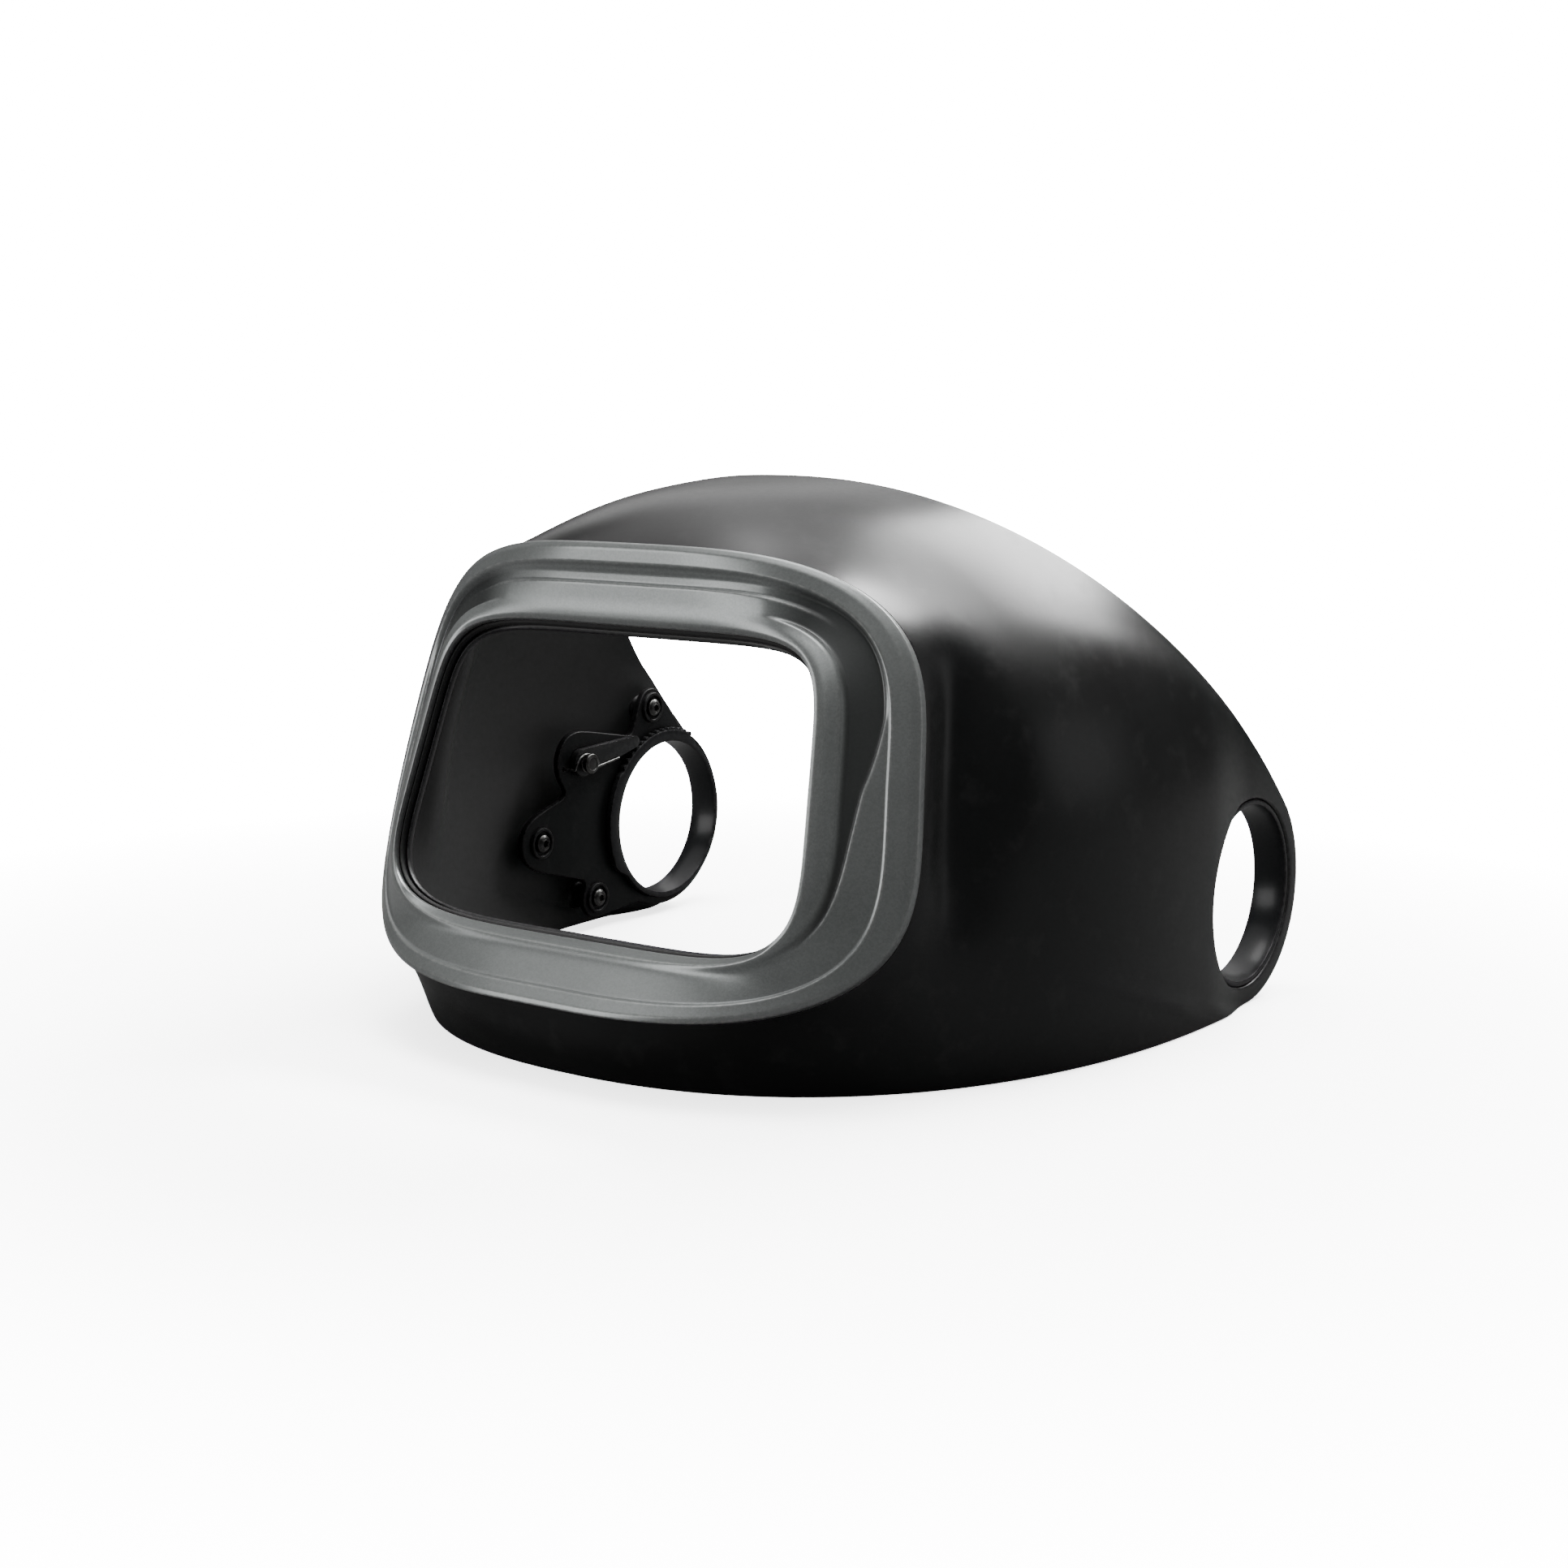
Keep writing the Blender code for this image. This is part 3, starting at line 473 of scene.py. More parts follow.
def write_level(mesh: bpy.types.Mesh, name: str, values: Array) -> None:
    """Writes one number for each point, for the finishes to read.

    Args:
        mesh: the mesh to write on.
        name: the attribute's name.
        values: one number for each point.
    """
    layer = mesh.attributes.get(name) or mesh.attributes.new(name, "FLOAT", "POINT")
    layer.data.foreach_set("value", np.asarray(values, np.float32))


def settle(obj: bpy.types.Object) -> None:
    """Turns the object's modifiers into its plain mesh.

    Args:
        obj: the object.
    """
    graph = bpy.context.evaluated_depsgraph_get()
    mesh = bpy.data.meshes.new_from_object(obj.evaluated_get(graph))
    obj.modifiers.clear()
    obj.data = mesh


LEAST_BEND = 0.02
FULL_WEAR = 1600.0


def mark_wear(mesh: bpy.types.Mesh) -> None:
    """Writes how strongly each point lies on an outward edge, for the finishes' wear.

    Args:
        mesh: the mesh to write on.
    """
    bm = as_bmesh(mesh)
    level = np.zeros(len(bm.verts))
    for e in bm.edges:
        if len(e.link_faces) == 2:
            bend = e.calc_face_angle_signed(0.0)
            if bend > LEAST_BEND:
                one, two = e.link_faces
                run = (one.calc_center_median() - two.calc_center_median()).length + 1e-6
                sharp = min(1.0, bend / run / FULL_WEAR)
                for v in e.verts:
                    level[v.index] = max(level[v.index], sharp)
    bm.free()
    write_level(mesh, "edge_wear", level)


def piece(name: str, source: "bmesh.types.BMesh | bpy.types.Mesh", finish: Finishes, body: str,
          replaced: Sequence[str] = (), smooth: float = 32.0,
          dress: "Callable[[bpy.types.Object], None] | None" = None) -> bpy.types.Object:
    """Makes a finished piece and hands it to the frame.

    Args:
        name: the piece's name.
        source: its mesh, in place.
        finish: what it is made of.
        body: the body that it rides on.
        replaced: the CAD nodes that it stands for.
        smooth: edges under this angle, in degrees, are shaded smooth.
        dress: adds modifiers before they are applied.
    Returns:
        The object.
    """
    if isinstance(source, bmesh.types.BMesh):
        bmesh.ops.recalc_face_normals(source, faces=source.faces)
        source = as_mesh(name, source)
    obj = linked(name, source)
    if dress is not None:
        dress(obj)
        settle(obj)
    mesh = obj.data
    mark_wear(mesh)
    mesh.shade_smooth()
    mesh.set_sharp_from_angle(angle=math.radians(smooth))
    mesh.materials.clear()
    mesh.materials.append(coat_of(finish))
    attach(obj, body)
    if replaced:
        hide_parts(*replaced)
    log.info("%s: %d faces on %s", name, len(mesh.polygons), body)
    return obj


def bevelled(width: float, steps: int = 2, angle: float = 40.0) -> Callable[[bpy.types.Object], None]:
    """A dress that rounds a piece's edges.

    Args:
        width: how far the rounding reaches from the edge.
        steps: its segments.
        angle: edges over this angle, in degrees, are rounded.
    Returns:
        The dress.
    """
    def dress(obj: bpy.types.Object) -> None:
        """Adds the bevel."""
        item = obj.modifiers.new("edges", "BEVEL")
        item.width, item.segments = width, steps
        item.limit_method, item.angle_limit = "ANGLE", math.radians(angle)
        item.use_clamp_overlap = True
    return dress


# ------------------------------------------------------------------ geometry node trees


class Tree:
    """A Geometry Nodes tree built by short calls, with named inputs."""

    def __init__(self, name: str) -> None:
        """Makes the group with its geometry input and output.

        Args:
            name: the group's name.
        """
        self.group = bpy.data.node_groups.new(name, "GeometryNodeTree")
        self.group.interface.new_socket("Geometry", in_out="INPUT", socket_type="NodeSocketGeometry")
        self.group.interface.new_socket("Geometry", in_out="OUTPUT", socket_type="NodeSocketGeometry")
        self.source = self.group.nodes.new("NodeGroupInput")
        self.sink = self.group.nodes.new("NodeGroupOutput")

    def size(self, name: str, kind: str, value: object = None) -> bpy.types.NodeSocket:
        """Adds a named input.

        Args:
            name: the input's name.
            kind: what it holds, such as Float or Int.
            value: what it holds at first.
        Returns:
            The socket inside the tree.
        """
        item = self.group.interface.new_socket(name, in_out="INPUT", socket_type=f"NodeSocket{kind}")
        if value is not None:
            item.default_value = value
        return self.source.outputs[name]

    def node(self, kind: str, settings: dict | None = None, inputs: dict | None = None,
             output: int | str = 0) -> bpy.types.NodeSocket:
        """Adds a node.

        Args:
            kind: the node's type.
            settings: its properties, set first.
            inputs: values or sockets by name or number.
            output: the output socket to return.
        Returns:
            The output socket.
        """
        item = self.group.nodes.new(kind)
        for key, value in (settings or {}).items():
            setattr(item, key, value)
        for key, value in (inputs or {}).items():
            if isinstance(value, bpy.types.NodeSocket):
                self.group.links.new(value, item.inputs[key])
            else:
                item.inputs[key].default_value = value
        return item.outputs[output]

    def close(self, geometry: bpy.types.NodeSocket, material: bpy.types.NodeSocket) -> None:
        """Ends the tree in Realize Instances and Set Material.

        Args:
            geometry: what the tree has made.
            material: the input that holds its material.
        """
        real = self.node("GeometryNodeRealizeInstances", None, {"Geometry": geometry})
        done = self.node("GeometryNodeSetMaterial", None, {"Geometry": real, "Material": material})
        self.group.links.new(done, self.sink.inputs[0])

    def run(self, name: str, base: bpy.types.Mesh, **values: object) -> bpy.types.Mesh:
        """Evaluates the tree on a mesh.

        Args:
            name: name of the result.
            base: the mesh that the tree starts from.
            values: inputs by name, with an underscore for a space.
        Returns:
            The realised mesh.
        """
        host = linked(f"{name}_host", base)
        item = host.modifiers.new("tree", "NODES")
        item.node_group = self.group
        sockets = {s.name: s.identifier for s in self.group.interface.items_tree if s.in_out == "INPUT"}
        for key, value in values.items():
            item[sockets[key.replace("_", " ")]] = value
        settle(host)
        mesh = host.data
        mesh.name = name
        bpy.data.objects.remove(host)
        return mesh


def screw_tree() -> Tree:
    """Screws set on points that carry their axis; each is turned at random about it.

    Returns:
        The tree.
    """
    tree = Tree("screws_on_seats")
    template = tree.size("Screw", "Object")
    head = tree.size("Head Radius", "Float", 0.003)
    seed = tree.size("Seed", "Int", 3)
    material = tree.size("Material", "Material")
    axis = tree.node("GeometryNodeInputNamedAttribute", {"data_type": "FLOAT_VECTOR"}, {"Name": "axis"})
    aligned = tree.node("FunctionNodeAlignRotationToVector", {"axis": "Z"}, {"Vector": axis})
    angle = tree.node("FunctionNodeRandomValue", {"data_type": "FLOAT"},
                      {2: 0.0, 3: math.pi / 3.0, "Seed": seed}, 1)
    spin = tree.node("FunctionNodeAxisAngleToRotation", None, {"Axis": (0.0, 0.0, 1.0), "Angle": angle})
    turned = tree.node("FunctionNodeRotateRotation", {"rotation_space": "LOCAL"},
                       {"Rotation": aligned, "Rotate By": spin})
    info = tree.node("GeometryNodeObjectInfo", None, {"Object": template}, "Geometry")
    placed = tree.node("GeometryNodeInstanceOnPoints", None,
                       {"Points": tree.source.outputs["Geometry"], "Instance": info, "Rotation": turned,
                        "Scale": head})
    tree.close(placed, material)
    return tree


def teeth_tree() -> Tree:
    """Round teeth along an arc in the local XY plane.

    Returns:
        The tree.
    """
    tree = Tree("teeth_on_arc")
    radius = tree.size("Root Radius", "Float", 0.03)
    start, sweep = tree.size("Start", "Float", 0.0), tree.size("Sweep", "Float", 1.0)
    count = tree.size("Teeth", "Int", 12)
    size, width = tree.size("Tooth Radius", "Float", 0.0009), tree.size("Tooth Width", "Float", 0.002)
    material = tree.size("Material", "Material")
    arc = tree.node("GeometryNodeCurveArc", {"mode": "RADIUS"},
                    {"Resolution": count, "Radius": radius, "Start Angle": start, "Sweep Angle": sweep})
    tooth = tree.node("GeometryNodeMeshCylinder", {"fill_type": "NGON"},
                      {"Vertices": 14, "Radius": size, "Depth": width})
    placed = tree.node("GeometryNodeInstanceOnPoints", None, {"Points": arc, "Instance": tooth})
    tree.close(placed, material)
    return tree


def wire_tree() -> Tree:
    """Round wire along the mesh's edges.

    Returns:
        The tree.
    """
    tree = Tree("wire_on_path")
    radius = tree.size("Wire Radius", "Float", 0.0004)
    faces = tree.size("Faces Round", "Int", 12)
    material = tree.size("Material", "Material")
    path = tree.node("GeometryNodeMeshToCurve", None, {"Mesh": tree.source.outputs["Geometry"]})
    ring = tree.node("GeometryNodeCurvePrimitiveCircle", {"mode": "RADIUS"},
                     {"Resolution": faces, "Radius": radius}, "Curve")
    wire = tree.node("GeometryNodeCurveToMesh", None,
                     {"Curve": path, "Profile Curve": ring, "Fill Caps": True})
    tree.close(wire, material)
    return tree


def point_mesh(name: str, places: Sequence[Sequence[float]], axes: Sequence[Sequence[float]]) -> bpy.types.Mesh:
    """Mesh of loose points that carry an axis each.

    Args:
        name: the mesh's name.
        places: where each point is.
        axes: the axis of each.
    Returns:
        The mesh.
    """
    mesh = bpy.data.meshes.new(name)
    mesh.from_pydata([tuple(p) for p in places], [], [])
    layer = mesh.attributes.new("axis", "FLOAT_VECTOR", "POINT")
    layer.data.foreach_set("vector", np.array(axes, np.float32).ravel())
    return mesh


# ------------------------------------------------------------------ form of the shield


def joint_place(name: str) -> Vector:
    """Place of a joint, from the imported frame."""
    return Vector(next(j for j in frame["joints"] if j["name"] == name)["pos_m"])


@dataclass(frozen=True)
class Form:
    """The curves and the moulded skin that the pieces share.

    The angle runs round the front frame: 0 is the wearer's left edge, 90 degrees the top.
    """

    pivot: Vector = field(default_factory=lambda: joint_place("ring_left_turn"))
    half_width: float = 0.1200
    rear_half: float = 0.1178
    ear_radius: float = 0.0342
    nose_start: float = 0.0320
    nose_reach: float = 0.1540
    plan_power: float = 2.20
    rim_plan: tuple[float, float, float] = (0.0200, 0.1580, 2.30)
    wall_top: float = 0.0535
    height: float = 0.1589
    side_power: float = 2.33
    front_power: float = 3.50
    wall: float = 0.0025
    scoop: float = 0.0060
    scoop_at: float = 0.0155
    scoop_width: float = 0.011
    window: tuple[float, float, float] = (-0.1630, 0.0789, 0.0695)
    window_rise: float = 0.0415
    window_taper: float = 0.116
    window_powers: tuple[float, float] = (6.5, 4.7)
    lean: float = 0.305
    outer: tuple[float, float, float] = (-0.1732, 0.0868, 0.0902)
    outer_up: float = 0.0560
    outer_down: float = 0.0648
    outer_taper: float = 0.125
    outer_powers: tuple[float, float] = (3.4, 4.1)
    wrap: float = 0.0145
    flat: float = 0.33
    frame_wall: float = 0.0026
    ear_span: tuple[float, float] = (-18.0, 22.0)

    @property
    def inward(self) -> Array:
        """Way in, square to the window."""
        return np.array([0.0, 1.0, -self.lean]) / math.hypot(1.0, self.lean)

    @property
    def core(self) -> Array:
        """Point in the head space that the skin is cast from."""
        return np.array([0.0, self.pivot.y - 0.062, 0.040])

    def window_curve(self, angle: Array) -> Array:
        """Edge of the window at each angle.

        Args:
            angle: angles round the window, in radians.
        Returns:
            The places.
        """
        c, s = np.cos(angle), np.sin(angle)
        power = np.where(s > 0.0, *self.window_powers)
        z = self.window[1] + self.window_rise * spow(s, 2.0 / power)
        x = (self.window[2] - self.window_taper * (z - self.window[1])) * spow(c, 2.0 / power)
        y = self.pivot.y + self.window[0] + self.lean * (z - self.window[1])
        return np.stack([x, y, z], -1)

    def frame_curve(self, angle: Array) -> Array:
        """Outer edge of the front frame at each angle.

        Args:
            angle: angles round the window, in radians.
        Returns:
            The places.
        """
        c, s = np.cos(angle), np.sin(angle)
        power = np.where(s > 0.0, *self.outer_powers)
        h = np.where(s > 0.0, self.outer_up, self.outer_down) * spow(s, 2.0 / power)
        x = (self.outer[2] - self.outer_taper * h) * spow(c, 2.0 / power)
        share = ((np.abs(x) / (0.72 * self.outer[2])) ** 6 + self.flat ** 6) ** (1.0 / 6.0)
        back = self.wrap * (0.83 * share ** 2 + 0.17 * share ** 4)
        y = self.pivot.y + self.outer[0] + 0.36 * h + 0.9 * h * h + back
        return np.stack([x, y, h + self.outer[1]], -1)

    def between(self, angle: Array, share: Array | float, depth: Array | float) -> Array:
        """Point from the window's edge (share 0) to the frame's (share 1), at a depth behind.

        Args:
            angle: angles round the window, in radians.
            share: how far across, 0 at the window and 1 at the outer edge.
            depth: how far behind the front face.
        Returns:
            The places.
        """
        share = np.broadcast_to(share, np.shape(angle))[..., None]
        depth = np.broadcast_to(depth, np.shape(angle))[..., None]
        return (1.0 - share) * self.window_curve(angle) + share * self.frame_curve(angle) + depth * self.inward

    def edge_path(self) -> tuple[Array, Array, float, float]:
        """Free edge of the left side, from the front of the rim to the top of the arch.

        Returns:
            The points, the run to each, and the run to the ear's start and end.
        """
        tab, radius = self.pivot.x, self.ear_radius
        start, reach, power = self.rim_plan
        turn = np.linspace(0.0, 0.5 * math.pi, 600)
        rim = np.stack([self.half_width * spow(np.sin(turn), 2.0 / power),
                        -start - reach * spow(np.maximum(np.cos(turn), 0.0), 2.0 / power), 0.0 * turn], -1)
        run = np.linspace(0.0, 1.0, 40)[1:]
        side = np.stack([self.half_width + (tab - self.half_width) * ease(run, 0.0, 1.0),
                         -start * (1.0 - run), 0.0 * run], -1)
        turn = np.radians(np.linspace(-90.0, 45.0, 160))[1:]
        ear = np.stack([tab + 0.0 * turn, radius * np.cos(turn), self.pivot.z + radius * np.sin(turn)], -1)
        low = ear[-1, 2]
        turn = np.linspace(0.0, 0.5 * math.pi, 700)[1:]
        rise = (self.height - self.wall_top) * np.sin(turn) ** (2.0 / self.side_power)
        z = np.maximum(self.wall_top + rise, low)
        x = self.rear_half * np.maximum(np.cos(turn), 0.0) ** (2.0 / self.side_power)
        x += (tab - self.rear_half) * np.clip(1.0 - (z - low) / 0.03, 0.0, 1.0)
        arch = np.stack([x, ear[-1, 1] + low - z, z], -1)
        path = np.concatenate([rim, side, ear, arch[z > low + 1e-6]])
        path[:, 1] += self.pivot.y
        length = np.concatenate([[0.0], np.cumsum(np.linalg.norm(np.diff(path, axis=0), axis=1))])
        marks = len(rim) + len(side) - 1, len(rim) + len(side) + len(ear) - 1
        return path, length, length[marks[0]], length[marks[1]]

    def edge_curve(self, angle: Array) -> Array:
        """Free edge of the shell at each angle: rim, round ear, rear edge and arch.

        Args:
            angle: angles round the window, in radians.
        Returns:
            The places.
        """
        path, length, first, last = self.edge_path()
        c, s = np.cos(angle), np.sin(angle)
        turn = np.degrees(np.arctan2(s, np.abs(c)))
        low, high = self.ear_span
        rim = first * np.clip((turn + 90.0) / (low + 90.0), 0.0, 1.0) ** 2.2
        ear = first + (last - first) * np.clip((turn - low) / (high - low), 0.0, 1.0)
        arch = last + (length[-1] - last) * np.clip((turn - high) / (90.0 - high), 0.0, 1.0)
        at = np.where(turn < low, rim, np.where(turn < high, ear, arch))
        point = np.stack([np.interp(at, length, path[:, k]) for k in range(3)], -1)
        point[..., 0] *= np.where(c < 0.0, -1.0, 1.0)
        return point

    def level(self, p: Array) -> Array:
        """Below 1 inside the moulded dome, above 1 outside.

        Args:
            p: the places.
        Returns:
            One number for each place.
        """
        x, y, z = np.abs(p[..., 0]), p[..., 1] - self.pivot.y, p[..., 2]
        half = self.half_width + (self.pivot.x - self.half_width) * ease(y, -self.nose_start, 0.0)
        across = (x / half) ** self.plan_power
        ahead = (np.maximum(-self.nose_start - y, 0.0) / self.nose_reach) ** self.plan_power
        share = ahead / (across + ahead + 1e-9)
        power = self.side_power + (self.front_power - self.side_power) * share ** 2
        rise = np.maximum(z - self.wall_top, 0.0) / (self.height - self.wall_top)
        return (across + ahead) ** (power / self.plan_power) + rise ** power

    def cast(self, guide: Array) -> Array:
        """Moves guide points along rays from the core to the dome.

        Args:
            guide: places round the core.
        Returns:
            Where their rays meet the dome.
        """
        ray = guide - self.core
        low, high = np.full(ray.shape[:-1], 0.3), np.full(ray.shape[:-1], 3.0)
        for _ in range(36):
            mid = 0.5 * (low + high)
            inside = self.level(self.core + ray * mid[..., None]) < 1.0
            low, high = np.where(inside, mid, low), np.where(inside, high, mid)
        return self.core + ray * low[..., None]

    def skin(self, angle: Array, along: Array) -> Array:
        """Outer skin of the shell, from the frame (along 0) to the free edge (along 1).

        Args:
            angle: angles round the window, in radians.
            along: how far from the frame to the free edge.
        Returns:
            The places.
        """
        start = self.between(angle, 1.0, self.frame_wall + GAP)
        end = self.edge_curve(angle)
        chord = np.linalg.norm(end - start, axis=-1)
        point = self.cast(start + (end - start) * along[..., None])
        fade = np.clip(1.0 - along / np.clip(0.042 / chord, 0.10, 0.85), 0.0, 1.0) ** 2
        point = (point + (start - self.cast(start)) * fade[..., None]
                 + (end - self.cast(end)) * (along ** 3)[..., None])
        c, s = np.cos(angle), np.sin(angle)
        swell = np.exp(-((along * chord - self.scoop_at) / self.scoop_width) ** 2)
        swell = swell * np.exp(-((s - 0.02) / 0.34) ** 2)
        point[..., 0] -= np.sign(c) * self.scoop * swell * np.abs(c)
        return point

    def inside(self, angle: Array, along: Array, depth: float) -> Array:
        """Skin moved in by a depth, square to its surface.

        Args:
            angle: angles round the window, in radians.
            along: how far from the frame to the free edge.
            depth: how far in.
        Returns:
            The places.
        """
        step = 1e-3
        across = self.skin(angle + step, along) - self.skin(angle - step, along)
        onward = (self.skin(angle, np.minimum(along + step, 1.0))
                  - self.skin(angle, np.maximum(along - step, 0.0)))
        normal = np.cross(across, onward)
        normal /= np.linalg.norm(normal, axis=-1)[..., None]
        return self.skin(angle, along) + normal * depth

    def stations(self, count: int, edge_share: float) -> Array:
        """Angles spaced evenly along the curves.

        Args:
            count: how many, a multiple of 4.
            edge_share: how much the shell's free edge counts against the window and the frame.
        Returns:
            The angles, alike in every quarter.
        """
        u = np.linspace(0.0, 1.0, 6001)
        out = []
        for base in (0.0, 90.0, 180.0, 270.0):
            angle = np.radians(base + 90.0 * u ** 5 / (u ** 5 + (1.0 - u) ** 5))
            run = np.zeros(len(u))
            for curve, weight in ((self.window_curve, 1.0 - edge_share), (self.frame_curve, 1.0 - edge_share),
                                  (self.edge_curve, edge_share)):
                steps = np.linalg.norm(np.diff(curve(angle), axis=0), axis=1)
                run[1:] += weight * np.cumsum(steps) / steps.sum()
            run /= run[-1]
            share = (np.arange(count // 4) + 0.5) / (count // 4)
            out.append(np.interp(share, run, angle))
        return np.concatenate(out)

    def wall_x(self, forward: float, up: float) -> float:
        """Half width of the shell's inner face beside a point forward of and above the pivot.

        Args:
            forward: how far forward of the pivot.
            up: how far above it.
        Returns:
            The distance from the middle plane.
        """
        low, high = 0.5 * self.half_width, 1.2 * self.half_width
        for _ in range(40):
            mid = 0.5 * (low + high)
            point = np.array([mid, self.pivot.y - forward, self.pivot.z + up])
            low, high = (mid, high) if self.level(point) < 1.0 else (low, mid)
        return low - self.wall


FORM = Form()


# ------------------------------------------------------------------ moulded shell


@dataclass
class Shell:
    """The moulded shell, with its round ears, bores and screw bosses."""

    around: int = 440
    along: int = 58
    bore: float = 0.02865
    edge_round: float = 0.0008
    bosses: tuple[tuple[float, float], ...] = ()
    boss_radius: float = 0.0038

    def rings(self) -> Array:
        """Section of the shell at each station.

        Returns:
            The places, by section point, station and axis.
        """
        angle = FORM.stations(self.around, 0.62)
        full = np.ones(self.around)
        back = FORM.frame_wall + GAP
        rows = [FORM.between(angle, share, back) for share in (0.50, 0.62, 0.74, 0.88, 0.97)]
        runs = np.linspace(0.0, 1.0, self.along) ** 1.25
        runs = np.append(runs[runs < 0.985], [0.988, 0.994])
        rows += [FORM.skin(angle, full * t) for t in runs]
        rim = np.abs(FORM.edge_curve(angle)[:, 2]) < 1e-6
        for back_off, share in ((0.0022, 0.06), (0.0005, 0.20), (0.0, 0.42), (0.0, 0.62), (0.0005, 0.84),
                                (0.0022, 0.95)):
            row = FORM.inside(angle, full * (1.0 - back_off), FORM.wall * share)
            row[:, 2] = np.where(rim & (back_off == 0.0), 0.0, np.maximum(row[:, 2], 0.0))
            rows.append(row)
        rows += [FORM.inside(angle, full * t, FORM.wall) for t in runs[::-1] if t > 0.035]
        rows += [FORM.between(angle, share, back + FORM.wall) for share in (0.88, 0.74, 0.62, 0.50)]
        return np.clip(np.array(rows), CAD_BOX[0], CAD_BOX[1])

    def bore_guide(self) -> bmesh.types.BMesh:
        """Both bores, flared at the ear's face so that the edge comes out rounded.

        Returns:
            The two plugs that are cut away.
        """
        bm = bmesh.new()
        for side in (-1.0, 1.0):
            face, r = FORM.pivot.x, self.bore
            flare = [(r + self.edge_round * (1.0 - math.cos(a)), face - self.edge_round * (1.0 - math.sin(a)))
                     for a in np.linspace(0.0, 0.5 * math.pi, 5)]
            profile = [(0.0, 0.09), (r, 0.09), *flare, (r + self.edge_round, face + 0.01), (0.0, face + 0.01)]
            lathe(bm, profile, (0.0, FORM.pivot.y, FORM.pivot.z), (side, 0.0, 0.0), 120)
        bmesh.ops.recalc_face_normals(bm, faces=bm.faces)
        return bm

    def build(self) -> None:
        """Makes the shell and its bosses."""
        guide = linked("bore_guide", as_mesh("bore_guide", self.bore_guide()))

        def bored(obj: bpy.types.Object) -> None:
            """Cuts both bores."""
            item = obj.modifiers.new("bores", "BOOLEAN")
            item.operation, item.solver, item.object = "DIFFERENCE", "EXACT", guide

        obj = piece("shell_moulding", grid(self.rings()), Finishes.SHELL, "shield", ["shell"], 28.0, bored)
        bpy.data.objects.remove(guide)
        place, normal = (np.zeros(3 * len(obj.data.vertices), np.float32) for _ in range(2))
        obj.data.vertices.foreach_get("co", place)
        obj.data.vertices.foreach_get("normal", normal)
        facing = ((place.reshape(-1, 3) - FORM.core) * normal.reshape(-1, 3)).sum(1)
        # Marks the faces that look in at the core; the sparked finish paints them lighter, as painted light on
        # the shell's inside.
        write_level(obj.data, "inner", facing < 0.0)
        plate_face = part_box("detent_plate_left")[1].x
        for side, tag in ((1.0, "left"), (-1.0, "right")):
            bm = bmesh.new()
            for forward, up in self.bosses:
                reach = FORM.wall_x(forward, up) + 0.4 * FORM.wall - plate_face - GAP
                r = self.boss_radius
                profile = [(0.0, 0.0), (r - 0.0003, 0.0), (r, 0.0003), (r, max(reach - 0.0022, 0.0004)),
                           (r + 0.0004, max(reach - 0.0014, 0.0006)), (r + 0.0014, max(reach - 0.0006, 0.0008)),
                           (r + 0.0014, reach), (0.0, reach)]
                lathe(bm, profile, (side * (plate_face + GAP), FORM.pivot.y - forward, FORM.pivot.z + up),
                      (side, 0.0, 0.0), 32)
            piece(f"shell_bosses_{tag}", bm, Finishes.SHELL, "shield")


# ------------------------------------------------------------------ window


